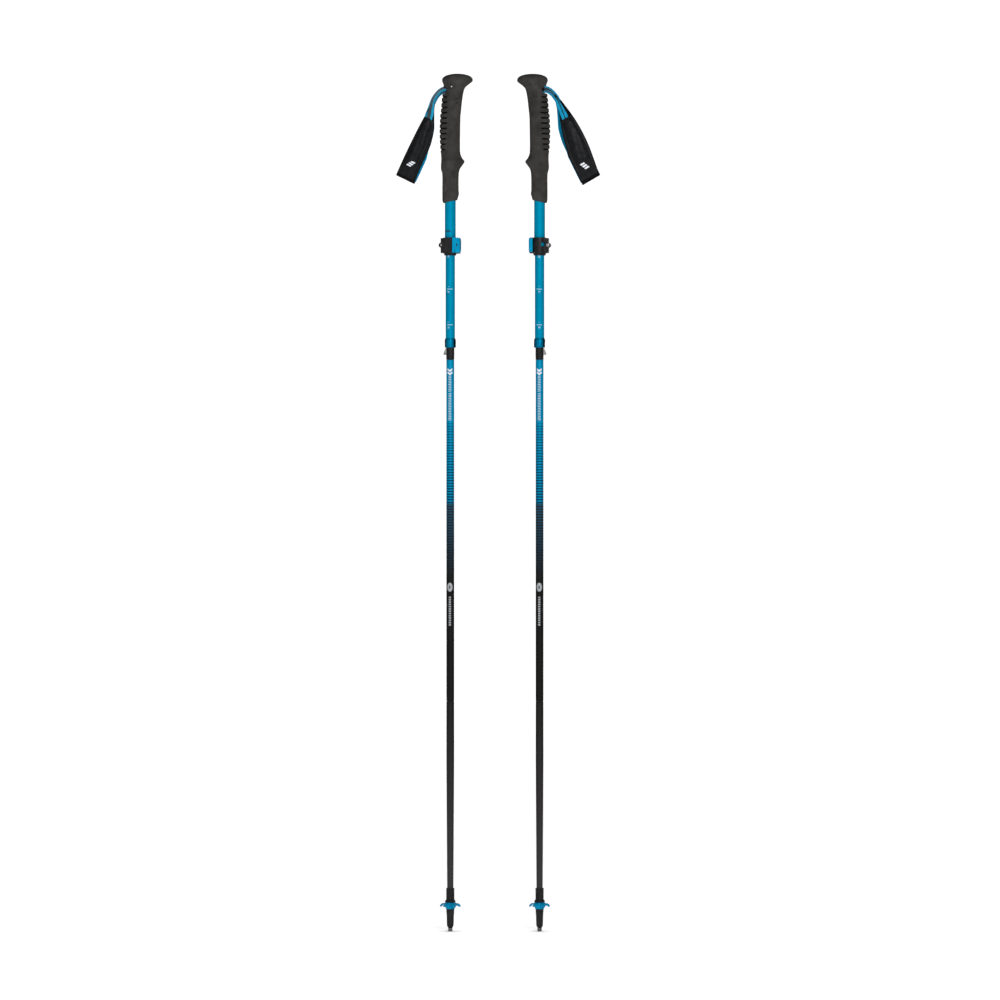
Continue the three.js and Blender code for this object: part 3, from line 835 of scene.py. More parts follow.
@dataclass
class Finishes:
    """Every material of the pair, built once."""

    foam: Material = built(Foam)
    black: Material = built(
        Moulded, "black_plastic", (0.0095, 0.0088, 0.0092), (0.0175, 0.0165, 0.0172), 0.36)
    blue: Material = built(
        Moulded, "blue_plastic", (0.0015, 0.228, 0.415), (0.002, 0.265, 0.47), 0.4, 0.00003, 0.12,
        (0.2, 0.6, 0.9))
    basket: Material = built(
        Moulded, "basket_plastic", (0.0015, 0.185, 0.36), (0.002, 0.235, 0.43), 0.42, 0.00003, 0.12,
        (0.3, 0.7, 0.9))
    dark_steel: Material = built(Metal, "blackened_steel", (0.06, 0.06, 0.065), (0.035, 0.035, 0.04), 0.45)
    anodised: Material = built(Anodised, "blue_anodised")
    # the collar's finish paints shade on its flanks
    collar: Material = built(
        Anodised, "collar_anodised", (0.0, 0.135, 0.262), (0.0, 0.165, 0.30), 0.34, 0.55, True)
    carbon: Material = built(CarbonShaft)
    button: Material = built(Metal, "button_steel", (0.24, 0.235, 0.225), (0.14, 0.135, 0.13), 0.5)
    steel: Material = built(Metal, "bright_steel", (0.42, 0.41, 0.40), (0.24, 0.235, 0.23))
    carbide: Material = built(Metal, "ground_carbide", (0.16, 0.155, 0.15), (0.09, 0.088, 0.085), 0.42)
    webbing: Material = built(Woven, "strap_webbing", (0.050, 0.072, 0.080), (0.012, 0.36, 0.60), 3.0, 7.2)
    far_webbing: Material = built(
        Woven, "far_strap_webbing", (0.012, 0.020, 0.028), (0.008, 0.33, 0.57), 0.75, 5.2)
    band: Material = built(Woven, "band_knit", (0.0050, 0.0050, 0.0060), pitch=1.1, height=0.0001, sheen=0.04)
    pocket: Material = built(
        Moulded, "pocket_cloth", (0.0050, 0.0052, 0.0060), (0.0095, 0.0100, 0.0112), 0.42, 0.00012, 0.15)
    lining: Material = built(Woven, "band_lining", (0.0015, 0.26, 0.46), pitch=1.3, height=0.00015, sheen=0.05)
    thread: Material = built(Woven, "sewing_thread", (0.03, 0.03, 0.033), pitch=0.4, height=0.00003)
    ink: Material = built(Print, "white_ink", (0.78, 0.82, 0.88))
    grey_ink: Material = built(Print, "grey_ink", (0.50, 0.56, 0.62))
    pale_ink: Material = built(Print, "pale_ink", (0.40, 0.62, 0.74))
    silver: Material = built(Print, "silver_ink", (0.34, 0.36, 0.38), 0.2, 0.4)
    cord: Material = built(Moulded, "coated_cord", (0.035, 0.036, 0.04), (0.06, 0.06, 0.065), 0.5, 0.0001)


# ---- Geometry node trees ---------------------------------------------------


class Tree:
    """A geometry node group with named inputs, built node by node."""

    def __init__(self, name: str, sizes: dict[str, float]) -> None:
        """Starts a group that takes a geometry, named numbers and a material.

        Args:
            name: the group's name.
            sizes: named number inputs and their values.
        """
        self.group = bpy.data.node_groups.new(name, "GeometryNodeTree")
        face = self.group.interface
        face.new_socket("Geometry", in_out="INPUT", socket_type="NodeSocketGeometry")
        self.identifiers: dict[str, str] = {}
        for key, value in sizes.items():
            socket = face.new_socket(key, in_out="INPUT", socket_type="NodeSocketFloat")
            socket.default_value = value
            self.identifiers[key] = socket.identifier
        material = face.new_socket("Material", in_out="INPUT", socket_type="NodeSocketMaterial")
        self.identifiers["Material"] = material.identifier
        face.new_socket("Geometry", in_out="OUTPUT", socket_type="NodeSocketGeometry")
        self.given = self.group.nodes.new("NodeGroupInput")
        self.result = self.group.nodes.new("NodeGroupOutput")

    def add(self, kind: str, feeds: dict[str | int, object] | None = None, **values: object) -> Node:
        """Adds a node.

        Args:
            kind: the node's type.
            feeds: what its inputs get: numbers, or other nodes' sockets.
            **values: properties of the node.

        Returns:
            The node.
        """
        node = self.group.nodes.new(kind)
        for key, value in values.items():
            setattr(node, key, value)
        for key, value in (feeds or {}).items():
            if isinstance(value, Socket):
                self.group.links.new(value, node.inputs[key])
            else:
                node.inputs[key].default_value = value
        return node

    def end(self, instances: Socket) -> None:
        """Closes the tree: instances made real, given the material, and sent out."""
        real = self.add("GeometryNodeRealizeInstances", {0: instances})
        feeds = {"Geometry": real.outputs[0], "Material": self.given.outputs["Material"]}
        dressed = self.add("GeometryNodeSetMaterial", feeds)
        self.group.links.new(dressed.outputs[0], self.result.inputs[0])

    def applied(self, obj: Object, finish: Material, **sizes: float) -> Object:
        """Runs the tree on an object and keeps the plain mesh.

        Args:
            obj: the object that the tree starts from.
            finish: its material input.
            **sizes: values of named inputs.

        Returns:
            The same object.
        """
        modifier = obj.modifiers.new("tree", "NODES")
        modifier.node_group = self.group
        modifier[self.identifiers["Material"]] = finish
        for key, value in sizes.items():
            modifier[self.identifiers[key]] = value
        evaluated(obj)
        return obj


def stitch_tree() -> Tree:
    """Short thread bars that follow a line of points, one every pitch."""
    tree = Tree("stitches", {"Pitch": 2.4, "Length": 1.5, "Radius": 0.22})
    given = tree.given.outputs
    line = tree.add("GeometryNodeMeshToCurve", {0: given["Geometry"]})
    feeds = {"Curve": line.outputs[0], "Length": given["Pitch"]}
    spaced = tree.add("GeometryNodeResampleCurve", feeds, mode="LENGTH")
    bar = tree.add("GeometryNodeMeshUVSphere", {"Segments": 6, "Rings": 4, "Radius": 1})
    half = tree.add("ShaderNodeMath", {0: given["Length"], 1: 0.5}, operation="MULTIPLY")
    size = tree.add("ShaderNodeCombineXYZ", {"X": given["Radius"], "Y": given["Radius"], "Z": half.outputs[0]})
    shape = tree.add("GeometryNodeTransform", {"Geometry": bar.outputs["Mesh"], "Scale": size.outputs[0]})
    tangent = tree.add("GeometryNodeInputTangent")
    align = tree.add("FunctionNodeAlignRotationToVector", {"Vector": tangent.outputs[0]}, axis="Z")
    on_points = tree.add("GeometryNodeInstanceOnPoints", {
        "Points": spaced.outputs[0], "Instance": shape.outputs[0], "Rotation": align.outputs[0]})
    tree.end(on_points.outputs[0])
    return tree


def row_tree() -> Tree:
    """Copies of one small shape in a row up the shaft, one every pitch."""
    tree = Tree("row_up_the_shaft", {"Count": 3, "Pitch": 50.0})
    given = tree.given.outputs
    offset = tree.add("ShaderNodeCombineXYZ", {"Z": given["Pitch"]})
    feeds = {"Count": given["Count"], "Offset": offset.outputs[0]}
    line = tree.add("GeometryNodeMeshLine", feeds, mode="OFFSET", count_mode="TOTAL")
    on_points = tree.add("GeometryNodeInstanceOnPoints", {
        "Points": line.outputs[0], "Instance": given["Geometry"]})
    tree.end(on_points.outputs[0])
    return tree


def ring_tree() -> Tree:
    """Copies of one shape turned round the shaft's axis."""
    tree = Tree("ring_round_the_shaft", {"Count": 6, "Turn": math.pi / 3})
    given = tree.given.outputs
    feeds = {"Count": given["Count"], "Offset": (0, 0, 0)}
    line = tree.add("GeometryNodeMeshLine", feeds, mode="OFFSET", count_mode="TOTAL")
    index = tree.add("GeometryNodeInputIndex")
    angle = tree.add("ShaderNodeMath", {0: index.outputs[0], 1: given["Turn"]}, operation="MULTIPLY")
    rotation = tree.add("ShaderNodeCombineXYZ", {"Z": angle.outputs[0]})
    on_points = tree.add("GeometryNodeInstanceOnPoints", {
        "Points": line.outputs[0], "Instance": given["Geometry"], "Rotation": rotation.outputs[0]})
    tree.end(on_points.outputs[0])
    return tree


@dataclass
class Trees:
    """The node trees that the pieces share."""

    stitches: Tree = field(default_factory=stitch_tree)
    row: Tree = field(default_factory=row_tree)
    ring: Tree = field(default_factory=ring_tree)


# ---- Sub-assemblies --------------------------------------------------------


@dataclass
class Assembly:
    """A sub-assembly of one pole: its pole, the shared finishes and trees, and what it has made."""

    pole: Pole
    finishes: Finishes
    trees: Trees
    made: list[Object] = field(default_factory=list, init=False)

    def piece(self, shape: Object | BMesh, name: str, finish: Material, slot: str, body: str | None,
              replaces: Sequence[str] = (), smooth: float = 40) -> Object:
        """Gives a piece its place, finish and body.

        Args:
            shape: the piece, in the pole's millimetre frame.
            name: its name without its side.
            finish: its material.
            slot: the record's slot for its finish; not used.
            body: the body it rides on, or None.
            replaces: CAD nodes that it stands for.
            smooth: the angle up to which its edges are shaded smooth.

        Returns:
            The piece.
        """
        obj = mesh_object(name, shape) if isinstance(shape, BMesh) else shape
        obj.name = self.pole.name(name)
        obj.data.name = obj.name
        obj.data.transform(self.pole.matrix)
        obj.data.materials.clear()
        obj.data.materials.append(finish)
        obj.data.shade_smooth()
        obj.data.set_sharp_from_angle(angle=math.radians(smooth))
        if body:
            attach(obj, self.pole.name(body))
        if replaces:
            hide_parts(*[self.pole.name(node) for node in replaces])
        self.made.append(obj)
        LOG.info("%s: %d faces", obj.name, len(obj.data.polygons))
        return obj

    def bridge(self, obj: Object, above: str, below: str, start: Point, end: Point) -> None:
        """Bakes a piece's transform into its mesh."""
        places = [tuple(self.pole.world(x, 0, z)) for x, z in (start, end)]
        self.pole.name(above)
        self.pole.name(below)
        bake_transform(obj)


# ---- Grip ------------------------------------------------------------------


@dataclass
class Grip(Assembly):
    """Foam grip with a beaked knob, finger grooves, a spur and a lower grip."""

    groove_count: int = 11
    groove_pitch: float = 7.35
    groove_depth: float = 2.2
    groove_half: float = 1.0
    groove_arc: float = math.radians(76)
    pin_forward: float = 1.4
    around: int = 128
    shaft_gap: float = 0.15

    # level, reach of the beak side, reach of the back, half width
    LEVELS = (
        (1026, 11.2, -11.1, 11), (1032, 12.2, -11.2, 11.2), (1038, 11.7, -11.2, 11.2),
        (1060, 12, -11.3, 11.3), (1067, 13.5, -13, 11.8), (1071.5, 16.5, -13.2, 12.3),
        (1077.5, 20.1, -12.8, 12.6), (1082, 16.9, -12.7, 12.7), (1088, 14.3, -13, 12.8),
        (1094, 13.7, -13.9, 12.9), (1116, 13.8, -15, 12.9), (1140, 14.3, -14.3, 12.7),
        (1150, 15.3, -13.1, 12.4), (1164, 16.8, -12, 12), (1173, 18.3, -10.7, 11.8),
        (1180, 20.4, -9.5, 12), (1184, 24.2, -9.4, 13.2), (1187, 28.2, -10.2, 14.2),
        (1189, 30.7, -11.1, 15), (1190.5, 31.6, -11.5, 15.3), (1192, 31.5, -11.5, 15.3),
    )

    def section(self, level: float) -> tuple[float, float, float]:
        """Reach of the beak side and of the back, and half width, at a level."""
        levels = np.array(self.LEVELS)
        i = int(np.clip(np.searchsorted(levels[:, 0], level) - 1, 0, len(levels) - 2))
        a, b = levels[i], levels[i + 1]
        before, after = levels[max(i - 1, 0)], levels[min(i + 2, len(levels) - 1)]
        span = b[0] - a[0]
        t = float(np.clip((level - a[0]) / span, 0, 1))
        slope_a = (b[1:] - before[1:]) / max(b[0] - before[0], 1e-6) * span
        slope_b = (after[1:] - a[1:]) / max(after[0] - a[0], 1e-6) * span
        value = ((2 * t**3 - 3 * t**2 + 1) * a[1:] + (t**3 - 2 * t**2 + t) * slope_a
                 + (3 * t**2 - 2 * t**3) * b[1:] + (t**3 - t**2) * slope_b)
        return float(value[0]), float(value[1]), float(value[2])

    def pressed_in(self, angle: float, level: float) -> float:
        """How deep the grooves and moulded marks cut into the skin at a place.

        Args:
            angle: direction round the grip, zero at the beak.
            level: height in millimetres.

        Returns:
            The depth in millimetres.
        """
        depth = 0.0
        from_back = abs(math.remainder(angle - math.pi, 2 * math.pi))
        step = (level - 1094) / self.groove_pitch
        nearest = round(step)
        if 0 <= nearest < self.groove_count:
            middle = (self.groove_count - 1) / 2
            reach = self.groove_arc * (1 - 0.22 * ((nearest - middle) / middle) ** 2)
            off = abs(step - nearest) * self.groove_pitch
            across = 1 / (1 + (off / self.groove_half) ** 8)
            ends = 1 / (1 + math.exp((from_back - reach) * 26))
            shallow = 1 - 0.45 * math.exp(-((from_back / 0.5) ** 2))
            depth += self.groove_depth * across * ends * shallow
        from_beak = abs(math.remainder(angle - math.radians(-52), 2 * math.pi))
        for mark in (1165.5, 1159.2):
            across = 1 / (1 + ((level - mark) / 0.7) ** 6)
            ends = 1 / (1 + math.exp((from_beak - 0.16) * 40))
            depth += 0.8 * across * ends
        return depth

    def slot_depth(self, y: float, level: float, slot: NodeShape) -> float:
        """How deep the strap's slot cuts into the back at a place."""
        middle = (slot.low + slot.high) / 2
        tall, wide = (slot.high - slot.low) / 2 + 0.9, 8.2
        inside = abs(y / wide) ** 6 + abs((level - middle) / tall) ** 6
        return 3.4 / (1 + inside**3)

    def skin(self, slot: NodeShape, bore: float, bottom: float, top: float) -> BMesh:
        """The foam's closed skin, from its bore round its lower lip to its crown."""
        bm = bmesh.new()
        rings = []
        slant = 0.22
        shade = bm.verts.layers.float.new("painted_recess_shade")

        def ring(level: float, front: float, back: float, half: float, tilt: float = 0.0,
                 detail: bool = False) -> None:
            """Adds one ring of the skin, pressed in where the grip has detail."""
            centre, reach = (front + back) / 2, (front - back) / 2
            verts = []
            for i in range(self.around):
                angle = 2 * math.pi * i / self.around
                x, y = centre + reach * math.cos(angle), half * math.sin(angle)
                depth = 0.0
                if detail:
                    depth = self.pressed_in(angle, level)
                    if x < 0:
                        depth += self.slot_depth(y, level, slot)
                    x -= depth * math.cos(angle)
                    y -= depth * math.sin(angle)
                vert = bm.verts.new((x, y, level + tilt * x))
                # painted shade: each vertex keeps how deep it is pressed in, which darkens the foam's colour
                # there
                vert[shade] = min(depth / self.groove_depth, 1.0)
                verts.append(vert)
            rings.append(verts)

        for level in (bottom + 7, bottom + 1.2):
            ring(level, bore, -bore, bore, slant)
        front, back, half = self.section(self.LEVELS[0][0])
        for share in (0.0, 0.25, 0.5, 0.75, 1.0):
            lip = math.sin(share * math.pi / 2)
            rise = 1 - math.cos(share * math.pi / 2)
            inner = bore + 0.6
            ring(bottom + 2.4 * rise, inner + (front - 0.7 - inner) * lip, -inner - (-back - 0.5 - inner) * lip,
                 inner + (half - 0.5 - inner) * lip, slant)
        levels = list(np.arange(self.LEVELS[0][0], 1090, 1.0))
        levels += list(np.arange(1090, 1172, 0.36)) + list(np.arange(1172, self.LEVELS[-1][0], 0.6))
        for level in levels:
            tilt = slant * max(0.0, 1 - (level - self.LEVELS[0][0]) / 6)
            ring(level, *self.section(level), tilt, detail=True)
        front, back, half = self.section(self.LEVELS[-1][0])
        base = self.LEVELS[-1][0]
        middle, power = 9.9, 2.1
        for share in np.linspace(0.03, 0.985, 24):
            rise = math.sin(share * math.pi / 2)
            spread = max(1 - rise**power, 0) ** (1 / power)
            ring(base + (top - base) * rise, middle + (front - middle) * spread,
                 middle + (back - middle) * spread, half * spread)
        for lower, upper in zip(rings, rings[1:]):
            strip(bm, lower, upper)
        for end in (rings[0], rings[-1]):
            middle_vert = bm.verts.new(sum((v.co for v in end), Vector()) / len(end))
            for i in range(self.around):
                bm.faces.new((end[i], end[(i + 1) % self.around], middle_vert))
        return outward(bm)

    def build(self) -> None:
        """Builds the foam and the strap pin's head."""
        foam = self.pole.shape("grip_foam")
        wedge = self.pole.shape("strap_wedge")
        shaft = self.pole.shape("upper_shaft")
        skin = self.skin(wedge, shaft.radius + self.shaft_gap, foam.low + 2, foam.high)
        obj = self.piece(skin, "foam_grip", self.finishes.foam, "grip_foam", "handle", ("grip_foam",), 62)
        self.pin()

    def pin(self) -> None:
        """The cross pin with a domed head and its far end."""
        near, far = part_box(self.pole.name("strap_pin"))
        centre = self.pole.local([(a + b) / 2 for a, b in zip(near, far)])
        profile = filleted([(0, -12.6, 0), (1.0, -12.5, 0.4), (1.4, -12.1, 0.4), (1.4, -11.3, 0.1),
                            (1.3, -11.2, 0.1), (1.3, 8.4, 0.3), (0, 8.4, 0)])
        bm = revolve(profile, 32)
        bm.transform(Matrix.Rotation(-math.pi / 2, 4, "X"))
        bm.transform(Matrix.Translation((centre.x + self.pin_forward, 0, centre.z)))
        self.piece(bm, "strap_cross_pin", self.finishes.steel, "steel", "handle", ("strap_pin",))


# ---- Wrist strap -----------------------------------------------------------


@dataclass
class WristStrap(Assembly):
    """Two layers of webbing out of the slot, and a padded band folded into a loop."""

    lean: float = math.radians(26.1)
    foot: Point = (-63.1, 1053.8)
    half_width: float = 14.45
    backing: float = 1.1
    mouths: tuple[float, float] = (90.0, 86.0)
    mark_lift: float = 4.0

    # height along the band, its distance from the loop's plane
    PATH = (
        (126, 0.9), (116, 1.5), (105, 2.5), (95, 3.9), (85, 5.2), (68, 6.4), (49, 6.9), (35, 6.7), (20, 5.7),
        (9, 4.0), (2.0, 2.5), (-1.2, 1.2), (-2.0, 0.0),
    )
    # height along the band, its outer edge, its inner edge
    NEAR = (
        (-3, -14.3, 14.3), (10, -14.4, 13.7), (31.6, -14.6, 12.9), (49, -14.6, 12.7), (60, -14.6, 11.6),
        (71, -14.5, 9.2), (80, -14.3, 6.6), (87, -14.0, 3.2), (92, -13.8, 0.5), (105.7, -13.6, -6.3),
        (117, -14.0, -9.9), (126, -13.5, -12.0),
    )
    FAR = (
        (-3, -14.3, 14.5), (10, -14.4, 14.2), (37.7, -14.6, 13.2), (47.4, -14.6, 10.9), (57.4, -14.6, 8.4),
        (67.1, -14.6, 5.6), (76.1, -14.5, 2.4), (86, -14.3, -1), (101.6, -14.2, -7.4), (112, -14.6, -10.6),
        (124, -14.6, -12.8),
    )
    # how far the far run bows out, for each pole
    BOW = {Side.LEFT: 0.0, Side.RIGHT: 6.8}
    # how far the fold is pulled up, and how slanted it is
    FOLD = {Side.LEFT: (0.8, 0.29), Side.RIGHT: (-4.0, 0.09)}
    # how far the foot of the band is set towards the pole
    TUCK = {Side.LEFT: 0.0, Side.RIGHT: 2.0}

    def spot(self, u: float, w: float, y: float) -> Vector:
        """A point of the band: up along it, across it and out from the loop's plane."""
        lift, slant = self.FOLD[self.pole.side]
        up = u + (lift - slant * w) * max(0.0, 1 - u / 25)
        w = w + self.TUCK[self.pole.side] * max(0.0, 1 - u / 50) ** 1.5
        x = self.foot[0] + up * math.sin(self.lean) + w * math.cos(self.lean)
        z = self.foot[1] + up * math.cos(self.lean) - w * math.sin(self.lean)
        return Vector((x, y, z))

    @property
    def swing(self) -> float:
        """How far this strap is swung out, from the lowest corner of its band in the frame."""
        pivot = self.pole.pivot("strap_swing")
        corner = min(self.pole.points("strap_band_near"), key=lambda p: p.x)
        x = self.foot[0] - self.half_width * math.cos(self.lean)
        z = self.foot[1] + self.half_width * math.sin(self.lean)
        here = math.atan2(corner.x - pivot.x, corner.z - pivot.z)
        unswung = math.atan2(x - pivot.x, z - pivot.z)
        return math.remainder(here - unswung, 2 * math.pi)

    def swung(self, bm: BMesh) -> BMesh:
        """Turns a strap piece to where this pole's strap hangs."""
        pivot = self.pole.pivot("strap_swing")
        turn = Matrix.Rotation(self.swing, 4, "Y")
        bm.transform(Matrix.Translation(pivot) @ turn @ Matrix.Translation(-pivot))
        return bm

    def edges(self, side: int, u: float) -> Point:
        """The band's outer and inner edge at a height.

        Args:
            side: -1 for the near run and 1 for the far one.
            u: height along the band.

        Returns:
            The two edges' distances across the band.
        """
        rows = np.array(self.NEAR if side < 0 else self.FAR)
        outer = float(np.interp(u, rows[:, 0], rows[:, 1]))
        inner = float(np.interp(u, rows[:, 0], rows[:, 2]))
        bow = self.BOW[self.pole.side] if side > 0 else 0.0
        share = max(0.0, 1 - ((u - 70) / (66 if u < 70 else 54)) ** 2)
        return outer - bow * share, inner

    def run(self, side: int, low: float, high: float, inset: float = 0.0, thickness: float = 1.1,
            trim: Point = (0.0, 0.0), count: int = 90) -> list[Station]:
        """Cross-sections of one run of the band, from its top down.

        Args:
            side: -1 for the near run and 1 for the far one.
            low: the height where it ends.
            high: the height where it starts.
            inset: how far inside the band's middle it lies.
            thickness: its thickness.
            trim: how much narrower it is on its outer and inner edge.
            count: how many cross-sections it has.

        Returns:
            The stations.
        """
        path = eased([(u, side * y, 0) for u, y in self.PATH], 400)
        path = path[(path[:, 0] >= low) & (path[:, 0] <= high)]
        path = path[np.linspace(0, len(path) - 1, count).astype(int)]
        tangents = np.gradient(path[:, :2], axis=0)
        across = Vector((math.cos(self.lean), 0, -math.sin(self.lean)))
        stations = []
        for (u, y, _), (du, dy) in zip(path, tangents):
            size = math.hypot(du, dy)
            out_u, out_y = side * dy / size, -side * du / size
            normal = self.spot(100 + out_u, 0, 0) - self.spot(100, 0, 0) + Vector((0, out_y, 0))
            normal = Vector((normal.x, side * abs(out_y) if side * out_y < 0 else out_y, normal.z))
            outer, inner = self.edges(side, u)
            outer, inner = outer + trim[0], inner - trim[1]
            centre = self.spot(u, (outer + inner) / 2, y) - normal * inset
            stations.append(Station(centre, across, normal, max(inner - outer, 0.5), thickness))
        return stations

    def build(self) -> None:
        """Builds the band, its lining and pockets, its stitching and marks, and the webbing."""
        self.band()
        self.lining()
        for label, side in (("near", -1), ("far", 1)):
            self.pocket(label, side)
            self.stitching(label, side)
            self.mark(label, side)
        self.webbing()

    def band(self) -> None:
        """The black cloth of both runs and the fold."""
        near = self.run(-1, -1.9, 117.0, thickness=self.backing)
        far = self.run(1, -1.9, 124.0, thickness=self.backing)
        cloth = self.swung(ribbon(near + far[::-1], flats=24, rounds=3))
        nodes = ("strap_band_near", "strap_band_far")
        obj = self.piece(cloth, "strap_band", self.finishes.band, "strap_fabric", "strap", nodes, 60)

    def lining(self) -> None:
        """The blue lining on the inner face of each run."""
        for label, side, high, edge in (("near", -1, 115.0, 0.15), ("far", 1, 104.0, 0.7)):
            stations = self.run(side, 1.0, high, self.backing / 2 + 0.3, 0.7, (0.3, -edge))
            cloth = self.swung(ribbon(stations, flats=20, rounds=2))
            name = f"strap_lining_{label}"
            obj = self.piece(cloth, name, self.finishes.lining, "strap_fabric", "strap", (), 60)

    def pocket_edges(self, side: int) -> Point:
        """How far a pocket's seams lie inside its run's outer and inner edge."""
        return (1.6, 6.2) if side < 0 else (3.0, 4.6)

    def pocket(self, label: str, side: int) -> None:
        """The puffed pocket that the webbing tucks into, open at its top."""
        trim_outer, trim_inner = self.pocket_edges(side)
        stations = list(self.run(side, 2.0, self.mouths[side > 0], -0.75, 0.5, (0.9, 1.0), 120))

        def puff(along: float, across: float) -> float:
            """Height of the cloth over the padding at a place."""
            width = stations[round(along * (len(stations) - 1))].width
            w = (across + 1) / 2 * width
            low, high = trim_outer - 0.9, width - (trim_inner - 1.0) * min(1.0, along * 3 + 0.25)
            t = (w - low) / max(high - low, 0.1)
            dome = max(0.0, 1 - abs(2 * t - 1) ** 2.4) if 0 < t < 1 else 0.0
            fullness = min(1.0, 0.62 + along * 4) * min(1.0, 0.04 + (1 - along) * 3.4)
            wrinkle = 0.16 * math.sin(along * 47 + across * 5) * dome
            wrinkle += 0.22 * math.sin(across * 9 + math.sin(along * 7) * 1.4) * dome * min(1.0, along * 3)
            binding = 0.7 * max(0.0, 1 - abs((width - w - 1.5) / 1.5) ** 2) if w > width - 3.0 else 0.0
            return 3.1 * dome * fullness + wrinkle + binding

        cloth = self.swung(ribbon(stations, flats=44, rounds=2, crown=puff))
        name = f"strap_pocket_{label}"
        obj = self.piece(cloth, name, self.finishes.pocket, "strap_fabric", "strap", (), 60)

    def stitching(self, label: str, side: int) -> None:
        """Stitches down both seams of a pocket and across its lower end."""
        stations = self.run(side, 4.0, self.mouths[side > 0] - 3, -1.05, 0.5, (0.9, 1.0))
        trim_outer, trim_inner = self.pocket_edges(side)
        rows: list[list[Vector]] = [[], []]
        for s in stations:
            for row, w in zip(rows, (trim_outer - 1.1 - s.width / 2, s.width / 2 - trim_inner + 1.4)):
                row.append(s.centre + s.across * w)
        last = stations[-1]
        rows.append([last.centre + last.across * w for w in np.linspace(-8.5, 8.5, 20)])
        bm = bmesh.new()
        for row in rows:
            verts = [bm.verts.new(p) for p in row]
            for a, b in zip(verts, verts[1:]):
                bm.edges.new((a, b))
        obj = mesh_object("stitches", self.swung(bm))
        self.trees.stitches.applied(obj, self.finishes.thread, Pitch=2.3, Length=1.6, Radius=0.2)
        self.piece(obj, f"strap_stitches_{label}", self.finishes.thread, "webbing", "strap", (), 60)

    def outer_face(self, side: int, u: float, w: float, lift: float) -> Vector:
        """A point over the outer face of a run."""
        heights = [height for height, _ in self.PATH][::-1]
        distances = [distance for _, distance in self.PATH][::-1]
        return self.spot(u, w, side * (float(np.interp(u, heights, distances)) + lift))

    def mark(self, label: str, side: int) -> None:
        """A plain mark of slanted bars printed low on a run."""
        height, tall = (22.4, 2.2) if side < 0 else (16.8, 2.1)
        gap, lean, half, shift, root = 1.0, 0.5, 3.2, 1.0, 1.2
        bm = bmesh.new()
        for row in range(3):
            low = height + (row - 1.5) * (tall + gap)
            corners = ((low, -half), (low, half), (low + tall, half), (low + tall, -half))
            levels = []
            for lift in (root, self.mark_lift):
                places = [self.outer_face(side, u, w - shift + (u - height) * lean, lift) for u, w in corners]
                levels.append([bm.verts.new(place) for place in places])
                bm.faces.new(levels[-1])
            strip(bm, *levels)
        bm = self.swung(outward(bm))
        self.piece(bm, f"strap_mark_{label}", self.finishes.ink, "webbing", "strap", (), 30)

    # x, y, z of a web's middle, how far it is turned out of the slot's direction, and its width
    NEAR_WEB = (
        (-2.5, -0.3, 1180.0, 24, 13.4), (-9.0, -0.5, 1179.8, 26, 13.4), (-14.5, -0.9, 1177.0, 27, 13.4),
        (-19.6, -1.6, 1171.6, 28, 13.4), (-24.0, -2.6, 1164.2, 31, 13.4), (-27.0, -4.3, 1152.4, 44, 13.4),
        (-28.8, -5.6, 1144.0, 66, 12.8), (-30.8, -5.7, 1136.8, 82, 11.4), (-34.0, -5.6, 1128.5, 88, 10.0),
    )
    FAR_WEB = (
        (-2.5, 0.3, 1175.8, -20, 9.4), (-9.0, 0.5, 1175.6, -22, 9.4), (-14.2, 1.0, 1173.2, -26, 9.4),
        (-19.6, 1.9, 1168.2, -32, 9.4), (-24.8, 3.2, 1160.4, -46, 9.4), (-28.8, 4.6, 1150.6, -58, 9.4),
        (-31.9, 5.6, 1141.5, -76, 9.4), (-34.8, 5.7, 1133.4, -84, 9.4), (-38.2, 5.6, 1124.8, -88, 9.0),
    )

    def webbing(self) -> None:
        """Each run's webbing, which twists from the slot into its pocket."""
        webs = (("near", self.NEAR_WEB, self.finishes.webbing, ("strap_webbing",)),
                ("far", self.FAR_WEB, self.finishes.far_webbing, ()))
        for label, path, finish, nodes in webs:
            curve = eased(path, 90)
            tangents = np.gradient(curve[:, :3], axis=0)
            stations = []
            for (x, y, z, turn, width), tangent in zip(curve, tangents):
                forward = Vector(tangent).normalized()
                flat = Vector((0, 1, 0))
                side = flat.cross(forward).normalized()
                angle = math.radians(turn)
                across = flat * math.cos(angle) + side * math.sin(angle)
                across = (across - forward * across.dot(forward)).normalized()
                stations.append(Station(Vector((x, y, z)), across, forward.cross(across), width, 1.3))
            web = self.swung(ribbon(stations, flats=18, rounds=2))
            obj = self.piece(web, f"strap_web_{label}", finish, "webbing", None, nodes, 60)
            self.bridge(obj, "handle", "strap", (-6.5, 1179.5), (-16.0, 1173.5))


# ---- Shafts ----------------------------------------------------------------


